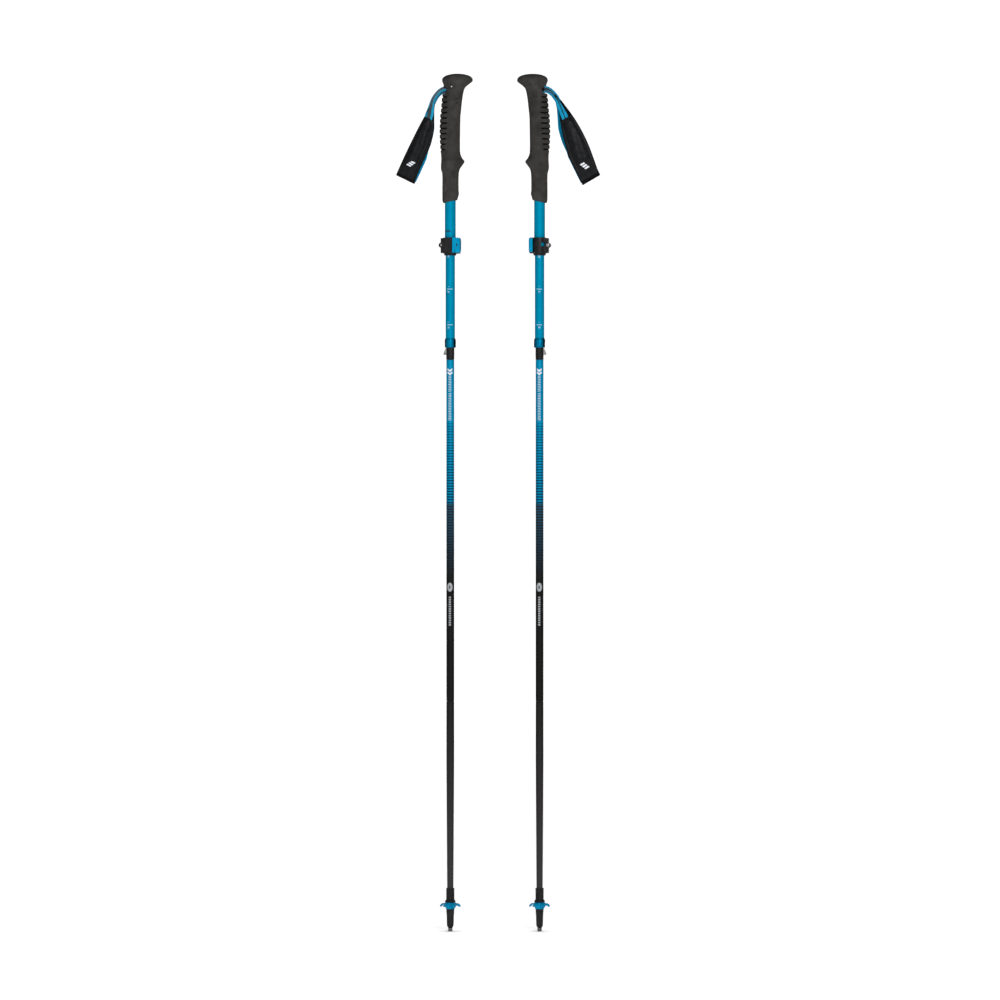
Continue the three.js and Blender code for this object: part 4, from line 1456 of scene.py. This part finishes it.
@dataclass
class UpperPart(Assembly):
    """Upper shaft, adjusting shaft with its scale, end collar, release sleeve and button."""

    scale_step: float = 50.0
    numerals: tuple[str, ...] = ("110", "115", "120", "125")
    first_mark: float = 848.8
    # where the painted shade on the collar's flanks starts, and how soon it is full
    flank_shade_start: float = 0.64
    flank_shade_fade: float = 0.12

    def tube(self, node: str) -> BMesh:
        """A smooth tube with the sizes of a CAD one."""
        shape = self.pole.shape(node)
        low, high, outer = shape.low, shape.high, shape.radius
        return hoop([(shape.bore, low, 0), (outer, low, 0.25), (outer, high, 0.25), (shape.bore, high, 0)])

    def build(self) -> None:
        """Builds every piece of the upper part."""
        self.upper_shaft()
        self.adjusting_shaft()
        self.scale()
        self.collar()
        self.sleeve()
        self.button()

    def upper_shaft(self) -> None:
        """The upper shaft and the small stop mark printed above the lock."""
        tube = self.tube("upper_shaft")
        self.piece(tube, "upper_tube", self.finishes.anodised, "blue_anodised", "handle", ("upper_shaft",))
        radius = self.pole.shape("upper_shaft").radius + 0.02
        angles = [math.radians(a) for a in range(-160, -74, 4)]
        mark = bmesh.new()
        for level, height, sweep in ((979.2, 1.5, angles), (977.6, 1.7, angles[:6])):
            self.plate(mark, radius, level, height, sweep)
        self.piece(mark, "stop_mark", self.finishes.black, "black_plastic", "handle", (), 30)

    @staticmethod
    def plate(bm: BMesh, radius: float, level: float, height: float, angles: Sequence[float]) -> None:
        """Adds a thin closed plate wrapped on a shaft.

        Args:
            bm: the mesh that it joins.
            radius: the radius that it is printed on.
            level: its lower edge.
            height: its height.
            angles: directions of its columns.
        """
        sunk, proud, top = radius - 0.1, radius + 0.06, level + height
        corners = ((sunk, level), (proud, level), (proud, top), (sunk, top))
        columns = []
        for angle in angles:
            columns.append([bm.verts.new((r * math.cos(angle), r * math.sin(angle), z)) for r, z in corners])
        for a, b in zip(columns, columns[1:]):
            strip(bm, a, b)
        bm.faces.new(columns[0])
        bm.faces.new(columns[-1])
        outward(bm)

    def adjusting_shaft(self) -> None:
        """The scaled tube."""
        self.piece(self.tube("adjusting_shaft"), "adjusting_tube", self.finishes.anodised, "blue_anodised",
                   "adjuster", ("adjusting_shaft",))

    def scale(self) -> None:
        """Tick lines every step and the numerals beside them, on two opposite faces."""
        radius = self.pole.shape("adjusting_shaft").radius * 1.002
        bm = bmesh.new()
        for facing in (-90, 90):
            sweep = [math.radians(facing + a) for a in range(-36, 37, 4)]
            self.plate(bm, radius, self.first_mark - 0.45, 0.9, sweep)
        ticks = mesh_object("ticks", bm)
        count = float(len(self.numerals))
        self.trees.row.applied(ticks, self.finishes.pale_ink, Count=count, Pitch=self.scale_step)
        self.piece(ticks, "scale_ticks", self.finishes.pale_ink, "steel", "adjuster", (), 30)
        for label, facing, turned in (("near", -90, -17), ("far", 90, 0)):
            size = 3.2 if turned else 4.2
            for i, numeral in enumerate(self.numerals):
                level = self.first_mark + self.scale_step * i
                for part, text, offset in (("upper", numeral[:1], 3.6), ("lower", numeral[1:], -4.4)):
                    digits = self.numeral(text, radius, math.radians(facing + turned), level + offset, size)
                    name = f"scale_{label}_{i}_{part}"
                    self.piece(digits, name, self.finishes.ink, "steel", "adjuster", (), 30)

    @staticmethod
    def numeral(text: str, radius: float, angle: float, level: float, size: float) -> BMesh:
        """A number that reads up the shaft, wrapped on it.

        Args:
            text: its digits.
            radius: the shaft's radius.
            angle: the direction it faces.
            level: the level of its middle.
            size: the digits' height.

        Returns:
            The number's mesh.
        """
        curve = bpy.data.curves.new("numeral", "FONT")
        curve.body = text
        curve.size = size
        curve.align_x = "CENTER"
        curve.align_y = "CENTER"
        curve.extrude = 0.05
        curve.resolution_u = 3
        written = bpy.data.objects.new("numeral", curve)
        bpy.context.scene.collection.objects.link(written)
        mesh = resulting_mesh(written)
        bpy.data.objects.remove(written)
        bm = bmesh.new()
        bm.from_mesh(mesh)
        bpy.data.meshes.remove(mesh)
        for vertex in bm.verts:
            x, y, lift = vertex.co
            turn = angle + y / radius
            r = radius + 0.02 + lift
            vertex.co = (r * math.cos(turn), r * math.sin(turn), level + x)
        bmesh.ops.remove_doubles(bm, verts=bm.verts, dist=1e-4)
        return outward(bm)

    def collar(self) -> None:
        """The blue end collar with chamfered rims, the button's notch and painted shade on its flanks."""
        shape = self.pole.shape("end_collar")
        sleeve = self.pole.shape("release_sleeve")
        button = self.pole.shape("release_button")
        r, low, high = shape.radius, shape.low, shape.high
        bore, tube_r = sleeve.radius + 0.3, self.pole.shape("adjusting_shaft").radius + 0.08
        notch = self.pole.shape("adjusting_shaft").low - 0.3
        ring = hoop([
            (bore, low + 0.5, 0), (bore + 0.5, low, 0.1), (r - 0.5, low, 0.15), (r, low + 0.5, 0.2),
            (r, high - 1.9, 0.3), (r - 0.5, high - 1.2, 0.2), (tube_r + 0.5, high, 0.3), (tube_r, high, 0),
            (tube_r, notch, 0), (bore, notch, 0)], 96)
        half = (button.high - button.low) * 0.27
        cut = block((-r - 3, -half, low - 1), (-bore + 1.2, half, notch))
        obj = combined([ring], [cut])
        # painted shade: a share that grows towards the collar's +x and -x sides
        flank_shade = obj.data.attributes.new("flank_shade", "FLOAT", "POINT")
        for vertex, value in zip(obj.data.vertices, flank_shade.data):
            beside = abs(vertex.co.x) / math.hypot(vertex.co.x, vertex.co.y)
            value.value = min(1.0, max(0.0, (beside - self.flank_shade_start) / self.flank_shade_fade))
        self.piece(obj, "collar", self.finishes.collar, "blue_anodised", "adjuster", ("end_collar",))

    def sleeve(self) -> None:
        """The dark sleeve with the button's window and a shallow retaining groove."""
        shape = self.pole.shape("release_sleeve")
        button = self.pole.shape("release_button")
        r, bore, low, high = shape.radius, shape.bore, shape.low, shape.high
        tube = hoop([
            (bore, low, 0), (r - 0.3, low, 0.1), (r, low + 0.4, 0.15), (r, low + 2.6, 0.1),
            (r - 0.25, low + 2.9, 0.1), (r - 0.25, low + 3.5, 0.1), (r, low + 3.8, 0.1), (r, high, 0.2),
            (bore, high, 0)])
        half = 2.5
        cut = block((-r - 2, -half, button.low - 0.3), (-bore + 2, half, button.high + 0.3))
        obj = combined([tube], [cut])
        self.piece(obj, "sleeve", self.finishes.black, "black_plastic", "sleeve", ("release_sleeve",))

    def button(self) -> None:
        """The wedge-shaped push button with a dished face."""
        shape = self.pole.shape("release_button")
        low, high = shape.low, shape.high
        half, curve_r = 2.2, 5.85
        face = [(-3.6 - math.sqrt(curve_r**2 - y * y), y) for y in np.linspace(half, -half, 9)]
        body = raised([(-5.3, -half), (-5.3, half), *face], low, high)
        ramp = raised([(-4.0, low - 0.5), (-4.0, high + 0.5), (-6.1, high + 0.5), (-6.3, high - 0.4),
                       (-9.35, low + 2.6), (-9.5, low + 1.4), (-9.45, low - 0.5)], -4, 4, Way.ACROSS)
        obj = combined([body], limits=[ramp])
        bevelled(obj, 0.28)
        self.piece(obj, "push_button", self.finishes.button, "steel", "button", ("release_button",))


@dataclass
class LeverLock(Assembly):
    """Clamp with its split ear, hinge pin, tension screw, nut and blue lever."""

    screw: Point = (-12.2, 960.3)
    wall: float = 9.6
    barrel: Point = (950.9, 969.9)
    dimple_place: Point = (10.3, 960.6)

    @property
    def hinge(self) -> Vector:
        """Where the lever's pin stands, in the pole's frame."""
        return self.pole.pivot("lock_lever_hinge")

    def build(self) -> None:
        """Builds every piece of the lock."""
        self.clamp()
        self.lever()
        self.fasteners()

    def clamp(self) -> None:
        """The black clamp, rounded all over, with its window, slit and nose."""
        shape = self.pole.shape("lock_clamp")
        inner = self.pole.shape("adjusting_shaft").radius + 0.2
        upper = self.pole.shape("upper_shaft")
        lever = self.pole.shape("lock_lever")
        low, high, step = shape.low, shape.high, upper.low - 0.3
        bore = upper.radius + 0.12
        ring = hoop([
            (inner, low, 0), (8.5, low, 0.3), (8.7, low + 2.2, 0.2), (self.wall, low + 2.7, 0.3),
            (self.wall, high, 0.5), (bore, high, 0), (bore, step, 0), (inner, step, 0)], 96)
        ear_outline = rounded_outline([(-13.0, -6.9, 1.2), (-6, -6.9, 0), (-6, 6.9, 0), (-13.0, 6.9, 1.2)])
        ears = raised(ear_outline, 949.4, 970.2)
        boss = rod(3.6, -6.95, 6.95, Way.ACROSS, self.screw, 56)
        h = self.hinge
        barrel_low, barrel_high = self.barrel[0] - 0.3, self.barrel[1] + 0.3
        knuckles = []
        for k_low, k_high in ((low + 2.7, barrel_low), (barrel_high, high)):
            knuckles.append(rod(1.95, k_low, k_high, Way.UP, (h.x, h.y), 48))
            knuckles.append(block((5.5, 3.9, k_low), (h.x, h.y + 1.9, k_high)))
        near_cheek = rounded_outline([(-9.5, -9.9, 1.2), (3.3, -10.9, 0.6), (3.3, -5, 0), (-9.5, -5, 0)])
        cheek = raised(near_cheek, 950.2, lever.high - 0.2)
        cuts = [
            rod(bore, step, high + 2, Way.UP, (0, 0), 96),
            rod(inner, low - 2, step + 1, Way.UP, (0, 0), 96),
            block((-20, -0.6, low - 1), (-6, 0.6, high + 1)),
            block((-8.4, 1.0, 959.0), (-3.0, 14, 963.6)),
            rod(1.65, -20, 20, Way.ACROSS, self.screw, 40),
            rod(1.45, low - 2, high + 2, Way.UP, (h.x, h.y), 40),
        ]
        obj = combined([ring, ears, boss, cheek, *knuckles], cuts)
        bevelled(obj, 0.4, 3, 38)
        self.piece(obj, "clamp", self.finishes.black, "black_plastic", "handle", ("lock_clamp",), 35)

    def lever(self) -> None:
        """The blue lever: a rounded plate round the beak side, with its barrel and dimple."""
        shape = self.pole.shape("lock_lever")
        h = self.hinge
        low, high = shape.low, shape.high
        outline = rounded_outline([
            (3.9, -12.1, 0.8), (11.8, -11.8, 3.2), (15.1, -9.0, 3.4), (15.1, 3.0, 0.6),
            (11.4, 3.0, 0.5), (11.4, -4.4, 1.5), (8.7, -8.6, 1.5), (3.9, -10.9, 0.4)], 6)
        plate = raised(outline, low, high)
        arm = block((11.4, 1.8, self.barrel[0]), (h.x + 2.75, h.y, self.barrel[1]))
        barrel = rod(2.85, *self.barrel, Way.UP, (h.x, h.y), 48)
        cuts = [
            rod(1.5, low - 10, high + 10, Way.UP, (h.x, h.y), 40),
            rod(self.wall + 0.4, low - 10, high + 10, Way.UP, (0, 0), 96),
            self.dimple(0.9, (-14, -9.6)),
        ]
        side_on = rounded_outline([(-8, low, 0), (15.1, low, 4.6), (15.1, high, 4.6), (-8, high, 0)], 8)
        obj = combined([plate, arm, barrel], cuts, [raised(side_on, -20, 20, Way.ACROSS)])
        bevelled(obj, 0.45, 4, 35)
        self.piece(obj, "lever", self.finishes.blue, "blue_plastic", "lever", ("lock_lever",), 38)
        # painted shade: a black piece set deep in the dimple darkens it as a shadow would
        dimple_shade = self.dimple(0.82, (-11.2, -9.5))
        self.piece(dimple_shade, "lever_plug", self.finishes.black, "black_plastic", "lever", (), 30)

    def dimple(self, half: float, reach: Point) -> BMesh:
        """The tall oval that dents the lever's face, or the dark piece in it that is painted shade."""
        bm = rod(half, *reach, Way.ACROSS, (0, 0), 40)
        bm.transform(Matrix.Diagonal((1.0, 1, 2.3, 1)))
        bm.transform(Matrix.Translation((self.dimple_place[0], 0, self.dimple_place[1])))
        return bm

    def fasteners(self) -> None:
        """The tension screw with a hexagon socket, its nut, and the hinge pin."""
        x, z = self.screw
        head = rod(2.35, -8.9, -7.1, Way.ACROSS, (x, z), 48, 0.35)
        screw = combined([head], [rod(1.55, -9.4, -8.0, Way.ACROSS, (x, z), 6)])
        self.piece(screw, "tension_screw", self.finishes.dark_steel, "steel", "handle", ("lock_screw",), 30)
        stem = rod(1.45, -8.5, 8.6, Way.ACROSS, (x, z), 40, 0.3)
        self.piece(stem, "tension_stem", self.finishes.button, "steel", "handle", (), 30)
        nut = combined([rod(2.4, 7.1, 9.3, Way.ACROSS, (x, z), 48, 0.7)],
                       [rod(1.5, 0, 20, Way.ACROSS, (x, z), 40)])
        self.piece(nut, "tension_nut", self.finishes.steel, "steel", "handle", ("lock_nut",), 30)
        h = self.hinge
        pin = rod(1.25, 949.2, 970.8, Way.UP, (h.x, h.y), 32, 0.3)
        self.piece(pin, "hinge_pin", self.finishes.steel, "steel", "handle", ("lock_pin",), 30)


@dataclass
class FoldingPart(Assembly):
    """Middle and lower shafts with their cones, prints and the inner cord."""

    fold_offset: float = 12.0
    cord_reach: float = 15.0
    cord_radius: float = 0.95

    # where the rings start, change colour and end, and where the marks start, as shares of the shaft's length
    RINGS = (0.356, 0.579, 0.810)
    BADGE_BELOW_TOP = 0.0360
    BARS_BELOW_TOP = 0.048
    OVAL = 0.334
    LINES = 0.306

    def build(self) -> None:
        """Builds every piece of the folding part."""
        self.middle_shaft()
        self.prints()
        self.lower_shaft()
        self.cone("middle")
        self.cone("lower")
        self.cords()

    def middle_shaft(self) -> None:
        """The printed middle shaft with a thin ferrule line at each end."""
        shape = self.pole.shape("middle_shaft")
        r, bore, low, high = shape.radius, shape.bore, shape.low, shape.high
        tube = hoop([
            (bore, low, 0), (r - 0.35, low, 0.1), (r, low + 0.5, 0.2), (r, high - 0.5, 0.2),
            (r - 0.35, high, 0.1), (bore, high, 0)])
        changes = [(low + share * (high - low)) * MM for share in self.RINGS]
        finish = PrintedShaft(*changes).material()
        self.piece(tube, "middle_tube", finish, "printed_shaft", "middle", ("middle_shaft",))

    @staticmethod
    def wrapped(outline: Sequence[Point], radius: float, facing: float, level: float) -> BMesh:
        """A thin flat shape wrapped on the shaft.

        Args:
            outline: across and up in millimetres, from its own centre.
            radius: the shaft's radius.
            facing: the direction it faces, in radians.
            level: the level of its centre.

        Returns:
            The mesh.
        """
        bm = bmesh.new()
        sunk, proud = 0.1, 0.05
        face = bm.faces.new([bm.verts.new((x, y, 0)) for x, y in outline])
        grown = bmesh.ops.extrude_face_region(bm, geom=[face])
        top = [item for item in grown["geom"] if isinstance(item, BMVert)]
        bmesh.ops.translate(bm, verts=top, vec=(0, 0, proud + sunk))
        left = min(x for x, _ in outline)
        wide = max(x for x, _ in outline) - left
        columns = max(1, int(wide / 0.8))
        for i in range(1, columns):
            everything = bm.verts[:] + bm.edges[:] + bm.faces[:]
            at = (left + wide * i / columns, 0, 0)
            bmesh.ops.bisect_plane(bm, geom=everything, plane_co=at, plane_no=(1, 0, 0))
        for vertex in bm.verts:
            x, y, lift = vertex.co
            r = radius - sunk + lift
            angle = facing + x / radius
            vertex.co = (r * math.cos(angle), r * math.sin(angle), level + y)
        return outward(bm)

    def prints(self) -> None:
        """Generic marks on both faces: chevrons and bars near the top, an oval and bars lower down."""
        shape = self.pole.shape("middle_shaft")
        r, low, high = shape.radius * 1.002, shape.low, shape.high
        length = high - low
        chevron = [(-3.6, -2.2), (0, -4.9), (3.6, -2.2), (3.6, 0.4), (0, -2.0), (-3.6, 0.4)]
        oval = [(4.1 * math.cos(a), 6.2 * math.sin(a)) for a in np.linspace(0, 2 * math.pi, 29)[:-1]]
        for label, facing in (("near", -math.pi / 2), ("far", math.pi / 2)):
            level = high - self.BADGE_BELOW_TOP * length + 0.6
            pair = [self.wrapped([(x, y + up) for x, y in chevron], r, facing, level) for up in (0, 4.4)]
            self.print_piece(f"badge_{label}", pair, self.finishes.ink)
            bars = self.bars(r, facing, high - self.BARS_BELOW_TOP * length)
            self.print_piece(f"bars_{label}", bars, self.finishes.grey_ink)
            level = low + self.OVAL * length
            badge = combined([self.wrapped(oval, r, facing, level)], [self.core(r, facing, level)])
            self.piece(badge, f"ring_badge_{label}", self.finishes.silver, "steel", "middle", (), 30)
            lines = self.lines(r, facing, low + self.LINES * length)
            self.print_piece(f"lines_{label}", lines, self.finishes.silver)

    def bars(self, radius: float, facing: float, level: float) -> list[BMesh]:
        """A row of plain slanted bars down the shaft, in two lengths."""
        shapes = []
        half, post, slant = 1.95, 0.95 / 2, 0.3
        for step in range(27):
            long = half + 0.5 if step % 4 == 1 else half
            bar = [(-long, -post - slant), (half, -post + slant), (half, post + slant), (-long, post - slant)]
            shapes.append(self.wrapped(bar, radius, facing, level))
            level -= 2.3 if step != 9 else 3.6
        return shapes

    def lines(self, radius: float, facing: float, level: float) -> list[BMesh]:
        """A row of plain level bars down the shaft."""
        half, tall, gap = 1.5, 2.0, 1.2
        bar = [(-half, -tall / 2), (half, -tall / 2), (half, tall / 2), (-half, tall / 2)]
        return [self.wrapped(bar, radius, facing, level - tall / 2 - i * (tall + gap)) for i in range(13)]

    @staticmethod
    def core(radius: float, facing: float, level: float) -> BMesh:
        """The oval tool that opens the middle of the oval mark."""
        bm = rod(1.0, radius - 2, radius + 2, Way.UP, (0, 0), 24)
        bm.transform(Matrix.Diagonal((2.6, 0.8, 1, 1)))
        bm.transform(Matrix.Rotation(math.pi / 2, 4, "Y"))
        bm.transform(Matrix.Rotation(facing, 4, "Z"))
        bm.transform(Matrix.Translation((0, 0, level)))
        return bm

    def print_piece(self, name: str, shapes: Sequence[BMesh], finish: Material) -> None:
        """Joins printed shapes into one piece on the middle shaft."""
        whole = bmesh.new()
        for bm in shapes:
            mesh = bpy.data.meshes.new("print")
            bm.to_mesh(mesh)
            bm.free()
            whole.from_mesh(mesh)
            bpy.data.meshes.remove(mesh)
        self.piece(whole, name, finish, "steel", "middle", (), 30)

    def lower_shaft(self) -> None:
        """The black lower shaft with its tapered lower half."""
        shape = self.pole.shape("lower_shaft")
        places = self.pole.points("lower_shaft")
        foot = max(math.hypot(p.x, p.y) for p in places if p.z < shape.low + 1)
        levels = sorted({round(p.z, 1) for p in places})
        taper_low, taper_high = levels[1], levels[-2]
        r, low, high = shape.radius, shape.low, shape.high
        wall = 0.6
        tube = hoop([
            (foot - wall, low, 0), (foot, low, 0.2), (foot, taper_low, 6), (r, taper_high, 14),
            (r, high - 0.5, 0.2), (r - 0.35, high, 0.1), (r - wall, high, 0), (r - wall, taper_high, 0),
            (foot - wall, taper_low, 0)])
        self.piece(tube, "lower_tube", self.finishes.carbon, "carbon", "lower", ("lower_shaft",))

    def cone(self, body: str) -> None:
        """A body's seating cone, whose curve lets it turn out of its socket."""
        node = f"{body}_cone"
        shape = self.pole.shape(node)
        base, hole, low, high = shape.radius, shape.bore, shape.low, shape.high
        tall, steps = 6.0, 12
        nose = []
        for i in range(steps + 1):
            height = tall * i / steps
            r = math.sqrt((self.fold_offset + base) ** 2 - height**2) - self.fold_offset
            nose.append((r, high - tall + height))
        profile = [(hole, low), (base, low), *nose, (hole, high), (hole, low)]
        self.piece(revolve(profile, 72), f"{node}_seat", self.finishes.black, "black_plastic", body, (node,))

    def cords(self) -> None:
        """The inner cord across each fold, as a straight rod."""
        r, reach, steps = self.cord_radius, self.cord_reach, 44
        for joint, above, below in (("upper_fold", "sleeve", "middle"), ("lower_fold", "middle", "lower")):
            seat = self.pole.pivot(joint).z
            profile = filleted([(0, seat - reach, 0), (r, seat - reach, 0.2)])
            profile += [(r, seat - reach + 2 * reach * i / steps) for i in range(1, steps)]
            profile += filleted([(r, seat + reach, 0.2), (0, seat + reach, 0)])
            obj = self.piece(revolve(profile, 20), f"{joint}_cord", self.finishes.cord, "cord", None)
            self.bridge(obj, above, below, (0, seat + 6), (0, seat - 6))


@dataclass
class TipPart(Assembly):
    """Tip holder, basket and hard tip."""

    lobes: int = 6

    def build(self) -> None:
        """Builds every piece of the tip."""
        self.holder()
        self.basket()
        self.tip()

    def holder(self) -> None:
        """The black tip holder with its stop ring, basket seat and flange."""
        shape = self.pole.shape("tip_holder")
        basket = self.pole.shape("basket")
        shaft = self.pole.shape("lower_shaft")
        low, high = shape.low, shape.high
        ring, flange = basket.low - 0.3, basket.high + 0.3
        r = shape.radius
        profile = filleted([
            (0, low, 0), (2.9, low, 0.3), (4.7, low + 3.3, 0.8), (4.9, low + 7.5, 1), (5.1, low + 17.5, 2),
            (5.65, ring - 3.2, 0.5), (5.25, ring - 2.8, 0.1), (5.25, ring - 2.5, 0.1), (5.7, ring - 2.3, 0.25),
            (5.7, ring, 0.25), (5.2, ring, 0), (5.2, flange, 0.1), (6.6, flange, 0.3), (r, flange + 0.9, 0.4),
            (r, flange + 2.0, 0.5), (6.2, flange + 3.9, 0.4), (5.75, flange + 4.1, 0.2),
            (5.75, high - 1.5, 0.2),
            (6.05, high - 1.1, 0.25), (6.05, high, 0.35), (4.6, high, 0.2), (4.6, shaft.low - 0.3, 0),
            (0, shaft.low - 0.3, 0)])
        holder = revolve(profile, 72)
        self.piece(holder, "holder", self.finishes.black, "black_plastic", "lower", ("tip_holder",))

    def petal(self, top: float, hub: float, reach: float) -> BMesh:
        """One drooping lobe of the basket, thick at the hub and round at its rim."""
        bm = bmesh.new()
        rows, columns = 12, 10
        spread = math.pi / self.lobes * 0.8
        sections = []
        for i in range(rows + 1):
            t = i / rows
            upper, lower = [], []
            for s in np.linspace(-1, 1, columns + 1):
                rim = reach * (1 - 0.16 * abs(s) ** 2.2)
                r = hub + (rim - hub) * t
                angle = s * spread * (1 - 0.30 * t**1.5)
                droop = 3.6 * t**2.4 + 0.9 * s * s * t
                thick = (1.9 - 0.7 * t) * max(1 - abs(s) ** 6 * 0.5, 0.3)
                dish = 0.9 * (1 - s * s) * math.sin(math.pi * t) - 0.5 * (1 - s * s) * (1 - t)
                z = top - droop + dish
                for row, level in ((upper, z), (lower, z - thick)):
                    row.append(bm.verts.new((r * math.cos(angle), r * math.sin(angle), level)))
            sections.append((upper, lower))
        for near, far in zip(sections, sections[1:]):
            strip(bm, near[0] + near[1][::-1], far[0] + far[1][::-1])
        for upper, lower in (sections[0], sections[-1]):
            strip(bm, upper, lower, closed=False)
        return outward(bm)

    def basket(self) -> None:
        """The basket: a flared hub, and lobes set round it."""
        shape = self.pole.shape("basket")
        low, high, reach = shape.low, shape.high, shape.radius
        bore = 5.45
        flare = hoop([
            (bore, low, 0), (6.2, low, 0.3), (6.9, low + 2.0, 1.0), (8.0, high - 3.0, 0.8), (8.3, high, 0.7),
            (bore, high, 0)])
        self.piece(flare, "basket_hub", self.finishes.basket, "blue_plastic", "basket", ("basket",))
        petals = mesh_object("petals", self.petal(high - 0.9, 7.4, reach))
        subdivision = petals.modifiers.new("round", "SUBSURF")
        subdivision.levels = subdivision.render_levels = 1
        evaluated(petals)
        turn = 2 * math.pi / self.lobes
        self.trees.ring.applied(petals, self.finishes.basket, Count=float(self.lobes), Turn=turn)
        self.piece(petals, "basket_petals", self.finishes.basket, "blue_plastic", "basket", (), 50)

    def tip(self) -> None:
        """The hard tip with a dished end and a serrated rim."""
        shape = self.pole.shape("carbide_tip")
        low, high, r = shape.low, shape.high, shape.radius
        profile = filleted([
            (0, low + 1.0, 0), (1.7, low + 0.7, 0.4), (2.3, low, 0.2), (r - 0.3, low + 0.5, 0.2),
            (r, low + 1.6, 0.3),
            (r, low + 4.1, 0.2), (1.55, low + 4.2, 0), (1.55, high, 0.2), (0, high, 0)])
        teeth = 8
        body = revolve(profile, 64)
        cuts = []
        for i in range(teeth):
            notch = rod(0.42, 0.5, 5.0, Way.ACROSS, (0, low - 0.05), 12)
            notch.transform(Matrix.Rotation(2 * math.pi * i / teeth, 4, "Z"))
            cuts.append(notch)
        obj = combined([body], cuts)
        self.piece(obj, "point", self.finishes.carbide, "carbide", "lower", ("carbide_tip",), 32)


@dataclass
class InnerPieces:
    """CAD pieces inside the pole that keep their shape and take a finish."""

    pole: Pole
    finishes: Finishes

    def dress(self) -> None:
        """Gives each inner node its material."""
        finishes = self.finishes
        wanted = {
            "grip_head": finishes.black, "strap_wedge": finishes.black, "shaft_bush": finishes.black,
            "cord_anchor": finishes.black, "button_spring": finishes.steel, "cord_upper": finishes.cord,
            "cord_middle": finishes.cord, "cord_lower": finishes.cord,
        }
        for node, finish in wanted.items():
            obj = frame["nodes"][self.pole.name(node)]
            obj.data.materials.clear()
            obj.data.materials.append(finish)


# ---- Studio ----------------------------------------------------------------


@dataclass
class Studio:
    """Pale floor that sweeps up into a backdrop, soft light and a long-lens camera."""

    distance: float = 9.0
    view_width: float = 1.4
    aim: Vector = field(default_factory=lambda: Vector((0.0071, 0.0, 0.6037)))
    floor_colour: Colour = (0.9, 0.9, 0.9)
    surround: float = 0.14
    key: float = 130.0
    fill: float = 16.0
    glow: float = 0.60
    side_glow: float = 0.1
    far_gain: float = 1.25
    # reach and strength of the painted contact shadow on the floor
    contact_shadow_reach: float = 0.024
    contact_shadow_depth: float = 3.5

    def build(self) -> None:
        """Builds the camera, the lights and the floor."""
        self.camera()
        self.lights()
        self.floor()

    def camera(self) -> None:
        """The camera, level and square to the pair."""
        data = bpy.data.cameras.new("camera")
        data.lens = data.sensor_width * self.distance / self.view_width
        data.clip_end = 60
        obj = bpy.data.objects.new("camera", data)
        obj.location = self.aim + Vector((0, -self.distance, 0))
        obj.rotation_euler = (math.pi / 2, 0, 0)
        bpy.context.scene.collection.objects.link(obj)
        bpy.context.scene.camera = obj

    def area(self, name: str, place: Sequence[float], size: float, power: float) -> None:
        """A square soft light that faces the middle of the pair."""
        data = bpy.data.lights.new(name, "AREA")
        data.shape = "SQUARE"
        data.size = size
        data.energy = power
        obj = bpy.data.objects.new(name, data)
        obj.location = place
        direction = self.aim - Vector(place)
        obj.rotation_euler = direction.to_track_quat("-Z", "Y").to_euler()
        bpy.context.scene.collection.objects.link(obj)

    def lights(self) -> None:
        """A dim white surround, a large key from the upper front and a weak fill from the left."""
        world = bpy.data.worlds.new("studio")
        world.use_nodes = True
        background = world.node_tree.nodes["Background"]
        background.inputs["Color"].default_value = (1, 1, 1, 1)
        background.inputs["Strength"].default_value = self.surround
        bpy.context.scene.world = world
        self.area("key", (0.7, -4.4, 2.1), 1.1, self.key)
        self.area("fill", (-2.4, -3.6, 1.2), 1.6, self.fill)
        bpy.context.scene.view_settings.view_transform = "Standard"

    def floor(self) -> None:
        """A floor that curves up behind the pair, further off than any view of it, with a painted contact
        shadow where the pair comes near it.
        """
        bm = bmesh.new()
        wide, front, back, bend, tall = 26.0, -14.0, 10.5, 3.5, 17.0
        line = [(front, 0.0)] + [(y, 0.0) for y in np.linspace(-6, back, 10)]
        turns = np.linspace(0.1, math.pi / 2, 14)
        line += [(back + bend * math.sin(a), bend * (1 - math.cos(a))) for a in turns]
        line.append((back + bend, tall))
        rows = [[bm.verts.new((x, y, z)) for x in (-wide, wide)] for y, z in line]
        for a, b in zip(rows, rows[1:]):
            strip(bm, a, b, closed=False)
        obj = mesh_object("floor", bm)
        graph = Graph("pale_floor")
        cloud = graph.between(graph.noise(graph.object_place(), 3, 3), 0.3, 0.7, 0.62, 0.7)
        # painted contact shadow: occlusion near the pair darkens the floor's colour and its glow
        nearness = graph.add("AmbientOcclusion", samples=4)
        nearness.inputs["Distance"].default_value = self.contact_shadow_reach
        clear = graph.math("POWER", nearness.outputs["AO"], self.contact_shadow_depth)
        place = graph.split(graph.object_place())
        spread = graph.between(place["Y"], 3.6, 14.4, 1.0, 4.0)
        aside = graph.math("DIVIDE", graph.math("ABSOLUTE", place["X"]), spread)
        lane = graph.between(aside, 1.35, 2.4, self.glow, self.side_glow)
        glow = graph.math("MULTIPLY", lane, graph.between(place["Y"], -0.5, 6.0, 1.0, self.far_gain))
        graph.set(Base_Color=graph.tinted(self.floor_colour, clear), Roughness=cloud, Specular_IOR_Level=0.2,
                  Emission_Color=(1.0, 1.0, 1.0), Emission_Strength=graph.math("MULTIPLY", clear, glow))
        obj.data.materials.append(graph.material)
        obj.data.shade_smooth()


def main() -> None:
    """Builds the studio and both poles, and reports each piece."""
    logging.basicConfig(level=logging.INFO, format="%(name)s %(message)s")
    Studio().build()
    finishes, trees = Finishes(), Trees()
    for side in Side:
        pole = Pole.from_record(side)
        count = 0
        for kind in (Grip, WristStrap, UpperPart, LeverLock, FoldingPart, TipPart):
            assembly = kind(pole, finishes, trees)
            assembly.build()
            count += len(assembly.made)
        InnerPieces(pole, finishes).dress()
        LOG.info("%s pole: %d pieces", side.value, count)


if __name__ == "__main__":
    main()
